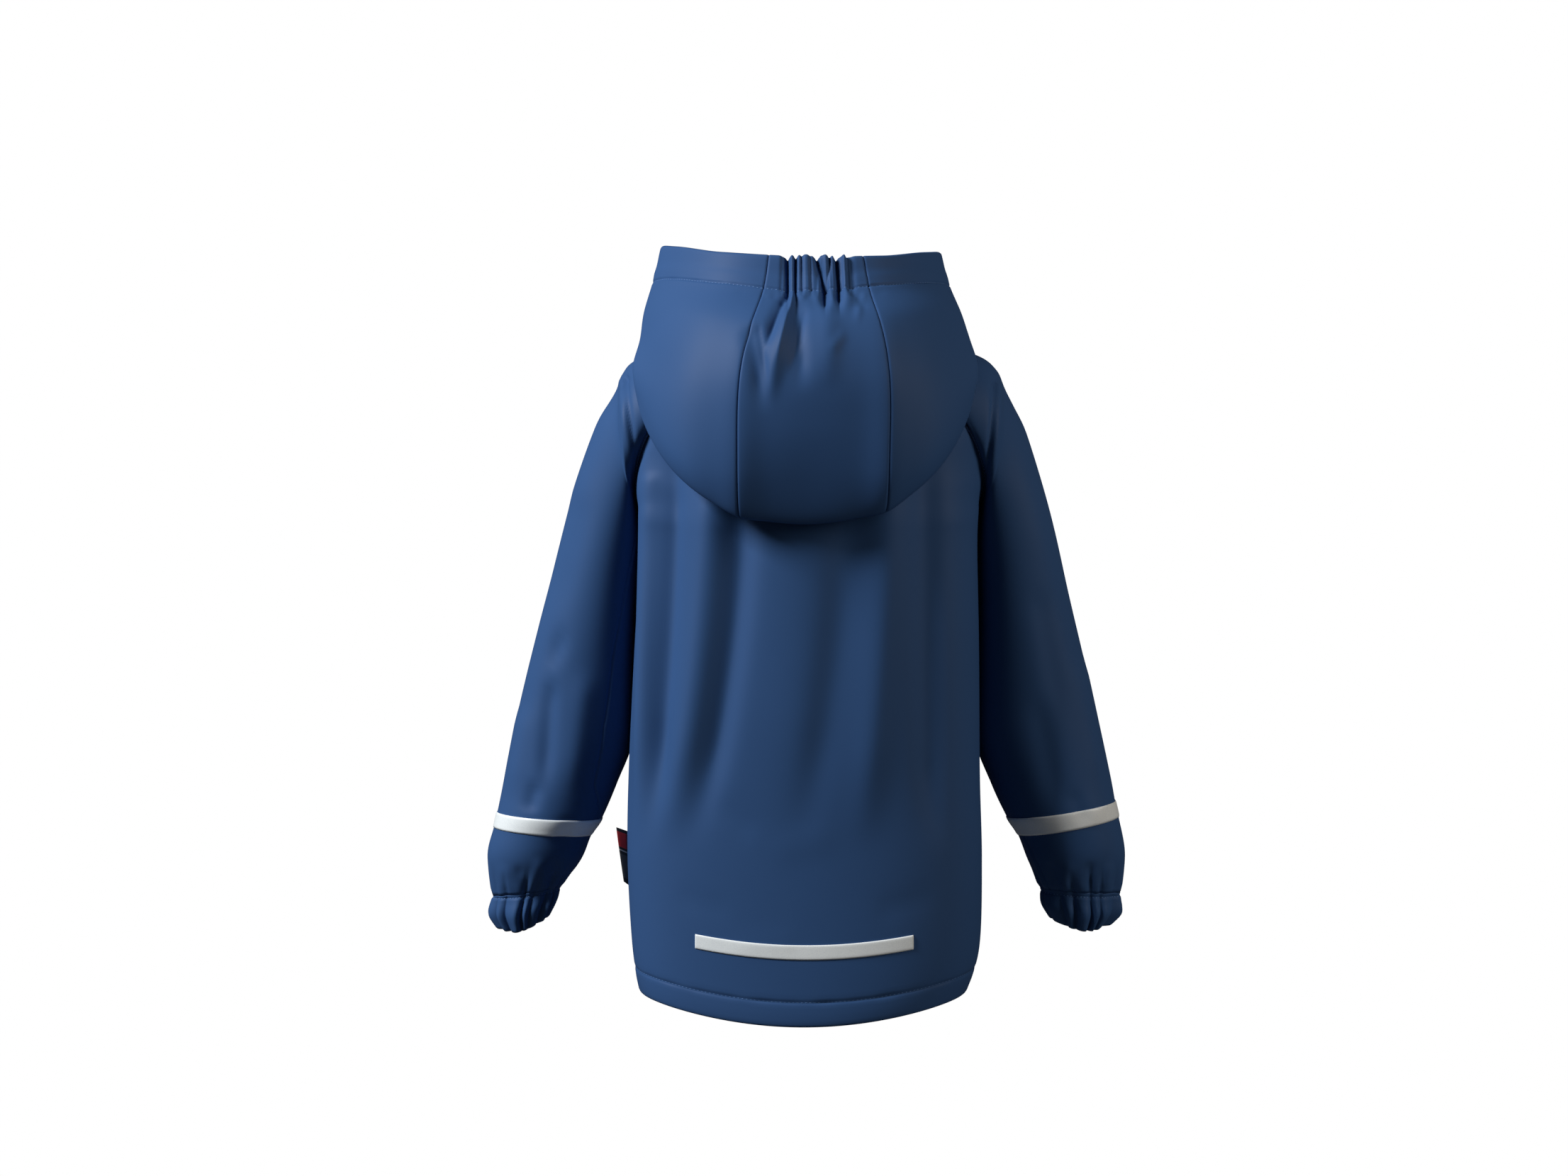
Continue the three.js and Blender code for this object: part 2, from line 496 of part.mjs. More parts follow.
// Facings of a grid of points from its neighbours, pointing to the outside of the cloth
function gridFacings(points, closed, flip) {
  const rows = points.length;
  const columns = points[0].length;
  return points.map((row, i) => row.map((_, j) => {
    const left = closed ? (j + columns - 1) % columns : Math.max(0, j - 1);
    const right = closed ? (j + 1) % columns : Math.min(columns - 1, j + 1);
    const along = points[Math.min(rows - 1, i + 1)][j].clone().sub(points[Math.max(0, i - 1)][j]);
    const across = points[i][right].clone().sub(points[i][left]);
    return across.cross(along).multiplyScalar(flip).normalize();
  }));
}

// A closed wall from a grid of outer points: an inner skin moved in by the thickness, and its edges
function wallGeometry(points, facings, thickness, closed) {
  const rows = points.length;
  const columns = points[0].length;
  const positions = [];
  for (const skin of [0, 1]) {
    for (let i = 0; i < rows; i += 1) {
      for (let j = 0; j < columns; j += 1) {
        const move = skin * thickness(i, j);
        const point = points[i][j].clone().addScaledVector(facings[i][j], -move);
        positions.push(point.x, point.y, point.z);
      }
    }
  }
  const at = (skin, i, j) => skin * rows * columns + i * columns + (j % columns);
  const triangles = [];
  const quad = (a, b, c, d) => triangles.push(a, b, c, a, c, d);
  const spans = closed ? columns : columns - 1;
  for (let i = 0; i < rows - 1; i += 1) {
    for (let j = 0; j < spans; j += 1) {
      quad(at(0, i, j), at(0, i, j + 1), at(0, i + 1, j + 1), at(0, i + 1, j));
      quad(at(1, i, j), at(1, i + 1, j), at(1, i + 1, j + 1), at(1, i, j + 1));
    }
  }
  for (let j = 0; j < spans; j += 1) {
    quad(at(0, 0, j), at(1, 0, j), at(1, 0, j + 1), at(0, 0, j + 1));
    quad(at(0, rows - 1, j), at(0, rows - 1, j + 1), at(1, rows - 1, j + 1), at(1, rows - 1, j));
  }
  if (!closed) {
    const end = columns - 1;
    for (let i = 0; i < rows - 1; i += 1) {
      quad(at(0, i, 0), at(0, i + 1, 0), at(1, i + 1, 0), at(1, i, 0));
      quad(at(0, i, end), at(1, i, end), at(1, i + 1, end), at(0, i + 1, end));
    }
  }
  return outwardGeometry(positions, triangles);
}

// Turns a closed shell so that its faces point out, whichever way its grid ran
function outwardGeometry(positions, triangles) {
  const corner = (k) => new THREE.Vector3().fromArray(positions, triangles[k] * 3);
  let volume = 0;
  for (let k = 0; k < triangles.length; k += 3) {
    volume += corner(k).dot(corner(k + 1).cross(corner(k + 2)));
  }
  if (volume < 0) triangles.reverse();
  const geometry = new THREE.BufferGeometry();
  geometry.setAttribute('position', new THREE.Float32BufferAttribute(positions, 3));
  geometry.setIndex(triangles);
  geometry.computeVertexNormals();
  return geometry;
}

const raincoat = new THREE.Group();
raincoat.name = 'raincoat';

function addPiece(name, geometry, material) {
  const mesh = new THREE.Mesh(geometry, material);
  mesh.name = name;
  raincoat.add(mesh);
}

// Levels of a body panel's rows, closer at the turned hem
function bodyLevels() {
  const levels = [];
  for (let i = 0; i <= yokeCells; i += 1) levels.push(armpitLevel * i / yokeCells);
  for (let i = 1; i <= bodyCells; i += 1) {
    levels.push(armpitLevel + (hemStitchLevel - armpitLevel) * i / bodyCells);
  }
  levels.push(hemStitchLevel + 0.06, (hemStitchLevel + hemLevel) / 2, hemLevel);
  return levels;
}
const levels = bodyLevels();
const clothAt = (level) => (level > hemStitchLevel + 0.01 ? turnedWall : wall);

// Sets a panel's edge on a raglan or side seam: half the gap to its own side, and the common face
function seatOnSeam(points, facings, i, j, face, sideSign, inner) {
  const level = levels[i];
  const facing = level < armpitLevel
    ? raglanFacing(face, level) : new THREE.Vector3(1, 0, level === armpitLevel ? -1 : 0).normalize();
  if (level === 0) facing.copy(neckFacing(face === 'back' ? neckBackEnd : neckFrontEnd));
  facing.x *= sideSign;
  facings[i][j].copy(facing);
  if (level > armpitLevel) {
    const step = points[i][inner].clone().sub(points[i][j]);
    points[i][j].addScaledVector(step.addScaledVector(facing, -step.dot(facing)).normalize(), seamGap / 2);
    return;
  }
  const away = raglanAway(face, level);
  away.x *= sideSign;
  points[i][j].addScaledVector(away, -seamGap / 2);
  if (level === armpitLevel) points[i][j].y += (face === 'back' ? seamGap : -seamGap) / 2;
}

function backPanel() {
  const acrossList = Array.from({ length: backCells + 1 }, (_, j) => -1 + 2 * j / backCells);
  const base = levels.map((level) => acrossList.map((across) => bodyPoint('back', across, level)));
  const baseFacings = gridFacings(base, false, 1);
  const points = base.map((row, i) => row.map((point, j) => point.clone().addScaledVector(
    baseFacings[i][j], backRelief(point, acrossList[j]))));
  const facings = gridFacings(points, false, 1);
  for (let j = 0; j <= backCells; j += 1) {
    const facing = neckFacing(neckBackEnd * Math.abs(acrossList[j]));
    facing.x *= Math.sign(acrossList[j]);
    facings[0][j].copy(facing);
  }
  levels.forEach((_, i) => {
    seatOnSeam(points, facings, i, 0, 'back', -1, 1);
    seatOnSeam(points, facings, i, backCells, 'back', 1, backCells - 1);
  });
  return { points, facings };
}
const back = backPanel();
addPiece('back_panel', wallGeometry(back.points, back.facings, (i) => clothAt(levels[i]), false), clothBlue);

// A front, from its side seam to the placket edge past the centre line
function frontPanel(side) {
  const sign = side === 'left' ? 1 : -1;
  const grid = levels.map((level) => {
    const edge = acrossAt('front', -sign * placketReach, level);
    return Array.from({ length: frontCells + 1 }, (_, j) => {
      const t = j / frontCells;
      return THREE.MathUtils.lerp(sign, edge, t < 1 ? Math.sin(t * Math.PI / 2) ** 0.9 * 0.999 : 1);
    });
  });
  const points = grid.map((row, i) => row.map((across) => bodyPoint('front', across, levels[i])));
  const facings = gridFacings(points, false, sign);
  levels.forEach((_, i) => grid[i].forEach((across, j) => {
    if (i === 0) {
      facings[0][j].copy(neckFacing(1 - (1 - neckFrontEnd) * Math.abs(across)));
      facings[0][j].x *= Math.sign(across);
    }
    if (side === 'left') {
      const lap = smooth((placketReach + 1 + placketRamp - points[i][j].x) / placketRamp);
      points[i][j].addScaledVector(facings[i][j], (placketLift + clothAt(levels[i]) - wall) * lap);
    }
  }));
  levels.forEach((_, i) => seatOnSeam(points, facings, i, 0, 'front', sign, 1));
  return { points, facings };
}
for (const side of ['left', 'right']) {
  const front = frontPanel(side);
  const geometry = wallGeometry(front.points, front.facings, (i) => clothAt(levels[i]), false);
  addPiece(`front_${side}`, geometry, clothBlue);
}

// Sleeves
const sleeveCells = 2 * (neckCells + yokeCells);
function sleeveGrid(side, steps, cells) {
  return steps.map((section) => Array.from({ length: cells }, (_, j) => toSide(
    sleevePoint(side, j / cells, section), side)));
}

function sleeveWall(side) {
  const points = sleeveGrid(side, sleeveSteps, sleeveCells);
  const flip = side === 'left' ? -1 : 1;
  const facings = gridFacings(points, true, flip);
  for (let j = 0; j < sleeveCells; j += 1) {
    const loop = raglanLoop(j / sleeveCells);
    facings[0][j].copy(toSide(loop.facing, side));
    if (loop.away) points[0][j].addScaledVector(toSide(loop.away, side), seamGap / 2);
  }
  return { points, facings };
}
for (const side of ['left', 'right']) {
  const sleeve = sleeveWall(side);
  addPiece(`sleeve_${side}`, wallGeometry(sleeve.points, sleeve.facings, () => wall, true), clothBlue);
}

// Reflective ring on each sleeve, made from the sleeve's own points
for (const side of ['left', 'right']) {
  const [top, foot] = sleeveTape;
  const points = sleeveGrid(side, [top, (top + foot) / 2, foot], sleeveCells);
  const facings = gridFacings(points, true, side === 'left' ? -1 : 1);
  points.forEach((row, i) => row.forEach((point, j) => point.addScaledVector(
    facings[i][j], trimLift + tapeWall)));
  addPiece(`sleeve_tape_${side}`, wallGeometry(points, facings, () => tapeWall, true), tapeSilver);
}

// Gathered cuff casing
function cuffWall(side) {
  const start = sleeveRows[side][sleeveEnd - 1];
  const rows = [{ ...start, sag: 0, fold: 0.5 }, ...cuffRows[side]].map((row) => ({ bow: 0, ...row }));
  const keyed = rows.map((row, i) => ({ ...row, place: i }));
  const points = cuffSteps.map((step) => {
    const row = tableAt(keyed, 'place', step);
    return Array.from({ length: cuffCells }, (_, j) => {
      const turn = j / cuffCells;
      const height = row.fold * Math.cos(turn * cuffFolds * Math.PI * 2);
      const swell = { ...row, depth: row.depth + height };
      const spread = height / Math.hypot(row.outerX - row.innerX, row.outerZ - row.innerZ);
      swell.outerX += (row.outerX - row.innerX) * spread;
      swell.outerZ += (row.outerZ - row.innerZ) * spread;
      swell.innerX -= (row.outerX - row.innerX) * spread;
      swell.innerZ -= (row.outerZ - row.innerZ) * spread;
      return toSide(sleeveSection(swell, turn), side);
    });
  });
  const facings = gridFacings(points, true, side === 'left' ? -1 : 1);
  points[0].forEach((point, j) => {
    point.addScaledVector(points[1][j].clone().sub(point).normalize(), seamGap);
  });
  return wallGeometry(points, facings, (i) => (i > 1 ? turnedCuff : wall), true);
}
for (const side of ['left', 'right']) addPiece(`cuff_${side}`, cuffWall(side), clothBlue);

// Hood panels between two lines that run from the rim to the neck seam
function hoodPanel(start, end, cells) {
  const grid = hoodSteps.map((section) => Array.from({ length: cells + 1 }, (_, j) => THREE.MathUtils.lerp(
    start(section), end(section), j / cells)));
  const base = grid.map((row, i) => row.map((around) => hoodPoint(around, hoodSteps[i])));
  const baseFacings = gridFacings(base, false, 1);
  const points = base.map((row, i) => row.map((point, j) => point.clone().addScaledVector(
    baseFacings[i][j], hoodRelief(point, hoodSteps[i]))));
  points[0].forEach((point, j) => point.setZ(point.z + gatherRise * gatherHeight(base[0][j], 0)));
  const facings = gridFacings(points, false, 1);
  const last = hoodSteps.length - 1;
  grid.forEach((row, i) => row.forEach((around, j) => {
    const atFront = Math.abs(around) > 0.9999;
    if (i < last && !atFront) return;
    const place = i === last ? neckPlace(Math.abs(around)) : frontPlace(hoodSteps[i]);
    const facing = neckFacing(place);
    const point = neckline(place);
    if (around < 0) [facing.x, point.x] = [-facing.x, -point.x];
    const lift = new THREE.Vector3(0, 0, 1).addScaledVector(facing, -facing.z).normalize();
    points[i][j].copy(point).addScaledVector(lift, hoodSeamLift);
    facings[i][j].copy(facing);
  }));
  return { points, facings };
}

const seamAround = (section, side) => {
  const row = tableAt(middlePanel, 'section', section);
  return hoodAround(row.shift + side * row.half, section);
};

// Both panels of a hood seam share its facings, and each stands back by half the gap
function joinHoodSeam(one, other) {
  one.points.forEach((row, i) => {
    const [a, b] = [row.length - 1, 0];
    const facing = one.facings[i][a].clone().add(other.facings[i][b]).normalize();
    one.facings[i][a].copy(facing);
    other.facings[i][b].copy(facing);
    const across = other.points[i][1].clone().sub(row[a - 1]).normalize();
    row[a].addScaledVector(across, -seamGap / 2);
    other.points[i][b].addScaledVector(across, seamGap / 2);
  });
}

const hoodRight = hoodPanel(() => -1, (section) => seamAround(section, -1), hoodSideCells);
const hoodMiddle = hoodPanel((section) => seamAround(section, -1), (section) => seamAround(section, 1),
  hoodMiddleCells);
const hoodLeft = hoodPanel((section) => seamAround(section, 1), () => 1, hoodSideCells);
joinHoodSeam(hoodRight, hoodMiddle);
joinHoodSeam(hoodMiddle, hoodLeft);
const hoodCloth = (i) => (i < 2 ? turnedWall : wall);
addPiece('hood_right', wallGeometry(hoodRight.points, hoodRight.facings, hoodCloth, false), clothBlue);
addPiece('hood_middle', wallGeometry(hoodMiddle.points, hoodMiddle.facings, hoodCloth, false), clothBlue);
addPiece('hood_left', wallGeometry(hoodLeft.points, hoodLeft.facings, hoodCloth, false), clothBlue);

// Reflective strip on the back, above the hem
function backTape() {
  const { topLevel, footLevel, left, right } = backStrip;
  const points = [topLevel, footLevel].map((level) => Array.from({ length: tapeCells + 1 }, (_, j) => {
    const x = THREE.MathUtils.lerp(right, left, j / tapeCells);
    return bodyPoint('back', acrossAt('back', x, level), level);
  }));
  const facings = gridFacings(points, false, 1);
  points.forEach((row, i) => row.forEach((point, j) => point.addScaledVector(
    facings[i][j], 2 * trimLift + tapeWall + Math.max(0, backRelief(point, 0)))));
  return wallGeometry(points, facings, () => tapeWall, false);
}
addPiece('back_tape', backTape(), tapeSilver);

// Label, folded double and caught in the left side seam
function labelGeometry() {
  const steps = 4;
  const points = Array.from({ length: steps + 1 }, (_, i) => {
    const t = i / steps;
    const seam = bodyPoint('back', 1, THREE.MathUtils.lerp(label.topLevel, label.footLevel, t));
    const reach = THREE.MathUtils.lerp(label.reach, label.footReach, t);
    return [seam.clone().add(new THREE.Vector3(label.clear, 0, 0)),
      seam.clone().add(new THREE.Vector3(label.clear + reach, label.back, label.rise))];
  });
  const facings = gridFacings(points, false, 1);
  return wallGeometry(points, facings, () => label.thickness, false);
}
addPiece('label', labelGeometry(), labelBlack);

// Press stud caps on the placket
studLevels.forEach((level, i) => {
  const middle = acrossAt('front', 0, level);
  const point = bodyPoint('front', middle, level);
  const below = bodyPoint('front', middle, level + 0.02);
  const beside = bodyPoint('front', middle + 0.01, level);
  const facing = below.sub(point).cross(beside.sub(point)).normalize();
  if (facing.y > 0) facing.negate();
  const profile = [[0, 0], [studRadius, 0], [studRadius, studRim], [studRadius * 0.75, studHeight * 0.85],
    [0, studHeight]].map(([radius, height]) => new THREE.Vector2(radius, height));
  const geometry = new THREE.LatheGeometry(profile, 10);
  const mesh = new THREE.Mesh(geometry, studBlue);
  mesh.name = `stud_${i + 1}`;
  mesh.quaternion.setFromUnitVectors(new THREE.Vector3(0, 1, 0), facing);
  mesh.position.copy(point).addScaledVector(facing, placketLift + trimLift);
  raincoat.add(mesh);
});

export default raincoat;
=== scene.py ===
import math
from functools import lru_cache

import bmesh
import bpy
import numpy as np
from mathutils import Matrix, Vector


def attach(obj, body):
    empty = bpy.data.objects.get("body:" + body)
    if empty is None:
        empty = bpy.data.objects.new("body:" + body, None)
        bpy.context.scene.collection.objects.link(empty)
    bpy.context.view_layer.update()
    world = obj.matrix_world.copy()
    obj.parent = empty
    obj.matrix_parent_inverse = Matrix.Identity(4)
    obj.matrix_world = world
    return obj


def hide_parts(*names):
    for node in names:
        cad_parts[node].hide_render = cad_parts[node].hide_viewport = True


# A child's raincoat in worn form, seen from behind. Its shape is worked out in millimetres and made in
# metres.
# Up is +Z, the back of the coat faces +Y, and the wearer's left is +X.
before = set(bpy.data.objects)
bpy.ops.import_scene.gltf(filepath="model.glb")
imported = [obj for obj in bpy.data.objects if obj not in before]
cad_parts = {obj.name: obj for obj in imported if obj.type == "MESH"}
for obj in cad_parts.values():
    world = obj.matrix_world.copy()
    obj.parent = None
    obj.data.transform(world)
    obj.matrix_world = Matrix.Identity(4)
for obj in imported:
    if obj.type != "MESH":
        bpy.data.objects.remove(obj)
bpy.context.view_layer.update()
mm = 0.001
print("frame loaded")

# Form of the coat

bodyColumns = ("level", "backX", "backY", "backZ", "midBackY", "midBackZ",
               "frontX", "frontY", "frontZ", "midFrontY", "midFrontZ", "sway", "turn")
bodyRows = [dict(zip(bodyColumns, row)) for row in (
    (0, 45, 44, -8, 58, -14, 52, -46, -21, -62, -34, 0, 62),
    (1, 76, 60, -31, 80, -40, 76, -62, -40, -81, -58, -1, 50),
    (2, 104, 65, -58, 93, -68, 102, -66, -64, -94, -80, -2.5, 50),
    (3, 126, 60, -86, 101, -97, 125, -60, -90, -101, -104, -4, 58),
    (4, 139, 46, -108, 104, -120, 138, -44, -111, -104, -125, -4.5, 68),
    (5, 145, 26, -130, 105, -141, 144.5, -22, -132, -105, -144, -4.5, 80),
    (6, 142, 2, -151, 105, -161, 142, 2, -151, -105, -161, -4.5, 90),
    (7, 141, 1, -185, 104, -196, 141, 1, -185, -104, -192, -4, 90),
    (8, 144.5, 0, -270, 103, -280, 144.5, 0, -270, -103, -274, -2, 90),
    (9, 147.3, 0, -375, 102, -386, 147.3, 0, -375, -102, -377, 0, 90),
    (10, 148.5, 0, -447, 103, -461, 148.5, 0, -447, -102, -447, -0.5, 90),
    (11, 145.5, 0, -519, 105, -535, 145.5, 0, -519, -103, -517, -1.5, 90),
    (12, 137, 1, -556, 106, -572, 137, 1, -556, -103, -551, 1, 90),
)]
armpitLevel = 6
hemLevel = 12
hemStitchLevel = 11.4

# Sleeve sections: outer and inner end as seen from behind, half depth, and how far back and front stand out
sectionColumns = ("outerX", "outerZ", "innerX", "innerZ", "y", "depth", "bow")
sleeveRows = {
    "left": [dict(zip(sectionColumns, row)) for row in (
        (105, -15, 139, -153, 2, 62, 12), (142, -29, 138.1, -158, -1, 59, 9),
        (154, -41, 137.8, -165, -4, 56, 6), (159, -53.5, 137.5, -174, -8, 54, 4),
        (177, -87.5, 137.4, -196, -13, 52, 1), (200, -151.5, 140, -235, -18, 50, 0),
        (219.5, -225, 143, -290, -24, 48, 0), (242, -313.5, 145, -347, -28, 46, 0),
        (257, -385.5, 160, -388.5, -28, 44, 0), (262.5, -413, 173, -419, -26, 42, 0),
        (265.5, -426, 182, -433, -26, 40, 0), (271, -451, 191, -454, -25, 36, 0),
        (265.5, -484.5, 207.5, -476.5, -24, 24, 0),
    )],
    "right": [dict(zip(sectionColumns, row)) for row in (
        (105, -15, 148, -153, 2, 62, 12), (146, -25, 147.1, -158, -1, 59, 9),
        (163, -37, 146.6, -165, -4, 56, 6), (171, -53.5, 146, -174, -8, 54, 4),
        (186, -85, 145.5, -196, -13, 52, 1), (208, -151.5, 146.5, -235, -18, 50, 0),
        (226.5, -225, 146.5, -290, -24, 48, 0), (248, -313.5, 146.5, -347, -28, 46, 0),
        (262.5, -378.5, 161.5, -389.5, -28, 44, 0), (267, -403.5, 174.5, -418, -26, 42, 0),
        (270, -417, 184, -433, -26, 40, 0), (275.5, -449, 192.5, -455, -25, 36, 0),
        (271, -481.5, 203, -477.5, -24, 25, 0),
    )],
}
seamRound = dict(zip(sectionColumns, (66, 0, 142, -151, 2, 64, 14)))
seamShare = (1, 0.62, 0.36, 0.18, 0.07)
neckShare = 1 / 11   # part of a sleeve's top that is sewn to the hood, on each side of the shoulder line

cuffColumns = sectionColumns + ("sag", "fold")
cuffRows = {
    "left": [dict(zip(cuffColumns, row)) for row in (
        (265.5, -484.5, 207.5, -476.5, -24, 24, 0, 0, 0.5), (266, -490, 210.5, -483.5, -24, 23, 0, 1, 1.4),
        (266, -501, 214.5, -492, -24, 23, 0, 3, 2.4), (259.5, -512, 219.5, -502, -24, 20, 0, 6, 2.6),
    )],
    "right": [dict(zip(cuffColumns, row)) for row in (
        (271, -481.5, 203, -477.5, -24, 25, 0, 0, 0.5), (270.5, -489, 204.5, -485.5, -24, 24, 0, 1, 1.4),
        (269, -499, 208, -494, -24, 24, 0, 3, 2.4), (260, -508.5, 214, -504.5, -24, 21, 0, 6, 2.6),
    )],
}

# Hood sections from the rim over the hanging fold to the neck seam: five points on its left half, where its
# front end meets the neckline, and how far it leans and tilts
hoodColumns = ("centre", "back", "corner", "side", "cheek", "neck", "lean", "tilt")
hoodRows = [dict(zip(hoodColumns, row)) for row in (
    ((0, 100, 44), (66, 84, 48.5), (115.5, 20, 60.5), (108, -16, 46), (80, -46, 15), 0.87, 2.5, 2.6),
    ((0, 108, 15), (68, 93, 23), (122.8, 26, 33), (118, -10, 20), (95, -44, -5), 0.76, 2.3, 1.5),
    ((0, 139, -16), (77, 116, -8), (130.2, 38, 8), (126, 4, -2), (104, -36, -14), 0.735, 1.5, 0),
    ((0, 151, -52), (88, 127, -48), (134.8, 52, -18), (130, 20, -17), (107, -26, -14), 0.71, -0.5, 0),
    ((0, 148, -94), (92, 130, -88), (140.2, 63, -43), (132, 30, -25), (106, -18, -11), 0.69, -0.7, 0),
    ((0, 137, -136), (90, 127, -128), (137.3, 71, -65), (130, 40, -31), (103, -14, -8), 0.665, -0.5, 0),
    ((0, 122, -170), (80, 117, -150), (130.5, 77, -86), (125, 44, -32), (98, -12, -5), 0.64, 0, 0),
    ((0, 111, -160), (70, 109, -138), (121, 76, -74), (116, 43, -26), (92, -11, -2), 0.62, 0, 0),
    ((0, 109, -112), (60, 106, -90), (108, 69, -40), (103, 40, -17), (86, -10, 0), 0.6, 0, 0),
    ((0, 96, -46), (52, 91, -38), (89, 55, -12), (87, 32, -2), (79, -10, 2), 0.58, 0, 0),
    ((0, 74, -2), (44, 68, 0), (70, 37, 6), (73, 16, 7), (72, -10, 5), 0.555, 0, 0),
)]
hoodStations = (0, 0.35, 0.66, 0.78, 0.89, 1)
neckAtStation = (0, 0.2, 0.34, 0.42, 0.48, 0.53)
hoodEnd = len(hoodRows)
middlePanel = [dict(zip(("section", "half", "shift"), row)) for row in (
    (0, 38, -9), (1, 42, -9), (3, 57, -7), (4.5, 59, -6), (6, 57, -5.5), (8, 44, -4), (11, 26, 0),
)]


def clamp01(value):
    return min(1.0, max(0.0, value))


def smooth(value):
    t = clamp01(value)
    return t * t * (3 - 2 * t)


def lerp(a, b, t):
    return a + (b - a) * t


def bell(offset, width):
    return math.exp(-(offset / width) ** 2)


def smoothAll(values):
    t = np.clip(values, 0, 1)
    return t * t * (3 - 2 * t)


def bellAll(offsets, width):
    return np.exp(-(offsets / width) ** 2)


# Height of straight folds over a grid of points, softer towards both ends of each
def foldsHeight(folds, x, z):
    height = np.zeros_like(x)
    for fold in folds:
        runX, runZ = fold["footX"] - fold["topX"], fold["footZ"] - fold["topZ"]
        long, wide = math.hypot(runX, runZ), fold["width"]
        along = ((x - fold["topX"]) * runX + (z - fold["topZ"]) * runZ) / long
        aside = ((x - fold["topX"]) * runZ - (z - fold["topZ"]) * runX) / long
        ends = smoothAll((along + wide) / (2 * wide)) * smoothAll((long - along) / (0.5 * long) + 0.3)
        height += fold["height"] * ends * bellAll(aside, wide)
    return height


foldColumns = ("topX", "topZ", "footX", "footZ", "width", "height")


def hermite(a, b, slopeA, slopeB, t):
    t2, t3 = t * t, t * t * t
    return a * (2 * t3 - 3 * t2 + 1) + slopeA * (t3 - 2 * t2 + t) + b * (3 * t2 - 2 * t3) + slopeB * (t3 - t2)


def tableAt(rows, key, place):
    i = 0
    while i < len(rows) - 2 and place > rows[i + 1][key]:
        i += 1
    a, b = rows[i], rows[i + 1]
    before, after = rows[max(0, i - 1)], rows[min(len(rows) - 1, i + 2)]
    span = b[key] - a[key]
    t = clamp01((place - a[key]) / span)
    return {name: hermite(a[name], b[name], (b[name] - before[name]) / (b[key] - before[key]) * span,
                          (after[name] - a[name]) / (after[key] - a[key]) * span, t) for name in a}


def throughPoints(points, stations, place):
    i = 0
    while i < len(stations) - 2 and place > stations[i + 1]:
        i += 1
    before, after = max(0, i - 1), min(len(stations) - 1, i + 2)
    span = stations[i + 1] - stations[i]
    t = clamp01((place - stations[i]) / span)
    slopeA = (points[i + 1] - points[before]) * (span / (stations[i + 1] - stations[before]))
    slopeB = (points[after] - points[i]) * (span / (stations[after] - stations[i]))
    return hermite(points[i], points[i + 1], slopeA, slopeB, t)


yokeRows = [row for row in bodyRows if row["level"] <= armpitLevel]
trunkRows = [row for row in bodyRows if row["level"] >= armpitLevel]


@lru_cache(None)
def bodyRow(level):
    return tableAt(yokeRows if level <= armpitLevel else trunkRows, "level", level)


def bodyPoint(face, across, level):
    row = bodyRow(level)
    side = [row[face + axis] for axis in "XYZ"]
    middle = "midBack" if face == "back" else "midFront"
    midY, midZ = row[middle + "Y"], row[middle + "Z"]
    half = math.radians(min(90, row["turn"]))
    angle = across * half
    toMiddle = max(0.0, (math.cos(angle) - math.cos(half)) / (1 - math.cos(half)))
    droop = 1 + 1.6 * smooth((level - armpitLevel) / 2)
    square = 1 - 0.42 * smooth((level - 4) / 2.6)
    return Vector((row["sway"] + side[0] * math.sin(angle) / math.sin(half),
                   side[1] + (midY - side[1]) * toMiddle ** square,
                   side[2] + (midZ - side[2]) * toMiddle ** droop))


def acrossAt(face, x, level):
    row = bodyRow(level)
    half = math.radians(min(90, row["turn"]))
    share = (x - row["sway"]) / row[face + "X"] * math.sin(half)
    return math.asin(max(-1, min(1, share))) / half


neckBackEnd = 0.3
neckFrontEnd = 0.7
neckCorner = Vector((66, 2, 0))


@lru_cache(None)
def neckEnds():
    return [bodyPoint("back", 0.7, 0), bodyPoint("back", 1, 0), neckCorner,
            bodyPoint("front", 1, 0), bodyPoint("front", 0.7, 0)]


def neckline(place):
    if place <= neckBackEnd:
        return bodyPoint("back", place / neckBackEnd, 0)
    if place >= neckFrontEnd:
        return bodyPoint("front", (1 - place) / (1 - neckFrontEnd), 0)
    return throughPoints(neckEnds(), (0.21, neckBackEnd, 0.5, neckFrontEnd, 0.79), place)


def seamLevel(turn):
    wrapped = turn % 1
    return armpitLevel * clamp01((0.5 - abs(wrapped - 0.5) - neckShare) / (0.5 - neckShare))


def raglanPoint(turn):
    wrapped = turn % 1
    if wrapped < neckShare:
        return neckline(lerp(0.5, neckBackEnd, wrapped / neckShare))
    if wrapped > 1 - neckShare:
        return neckline(lerp(0.5, neckFrontEnd, (1 - wrapped) / neckShare))
    return bodyPoint("back" if wrapped <= 0.5 else "front", 1, seamLevel(turn))


def ringPoint(row, turn):
    out, back = math.cos(turn * 2 * math.pi), math.sin(turn * 2 * math.pi)
    return Vector(((row["outerX"] + row["innerX"]) / 2 + (row["outerX"] - row["innerX"]) / 2 * out
                   + row["bow"] * back * back,
                   row["y"] + row["depth"] * back,
                   (row["outerZ"] + row["innerZ"]) / 2 + (row["outerZ"] - row["innerZ"]) / 2 * out
                   - row.get("sag", 0) * back * back))


@lru_cache(None)
def sleeveLine(side, turn):
    sway = bodyRow(seamLevel(turn))["sway"]
    seam = raglanPoint(turn)
    if side == "right":
        seam.x -= 2 * sway
    roundSeam = ringPoint(seamRound, turn)
    roundSeam.x += sway if side == "left" else -sway
    shape = seam - roundSeam
    shares = list(seamShare[1:]) + [0] * len(sleeveRows[side])
    return [seam] + [ringPoint(row, turn) + shape * share for row, share in zip(sleeveRows[side], shares)]


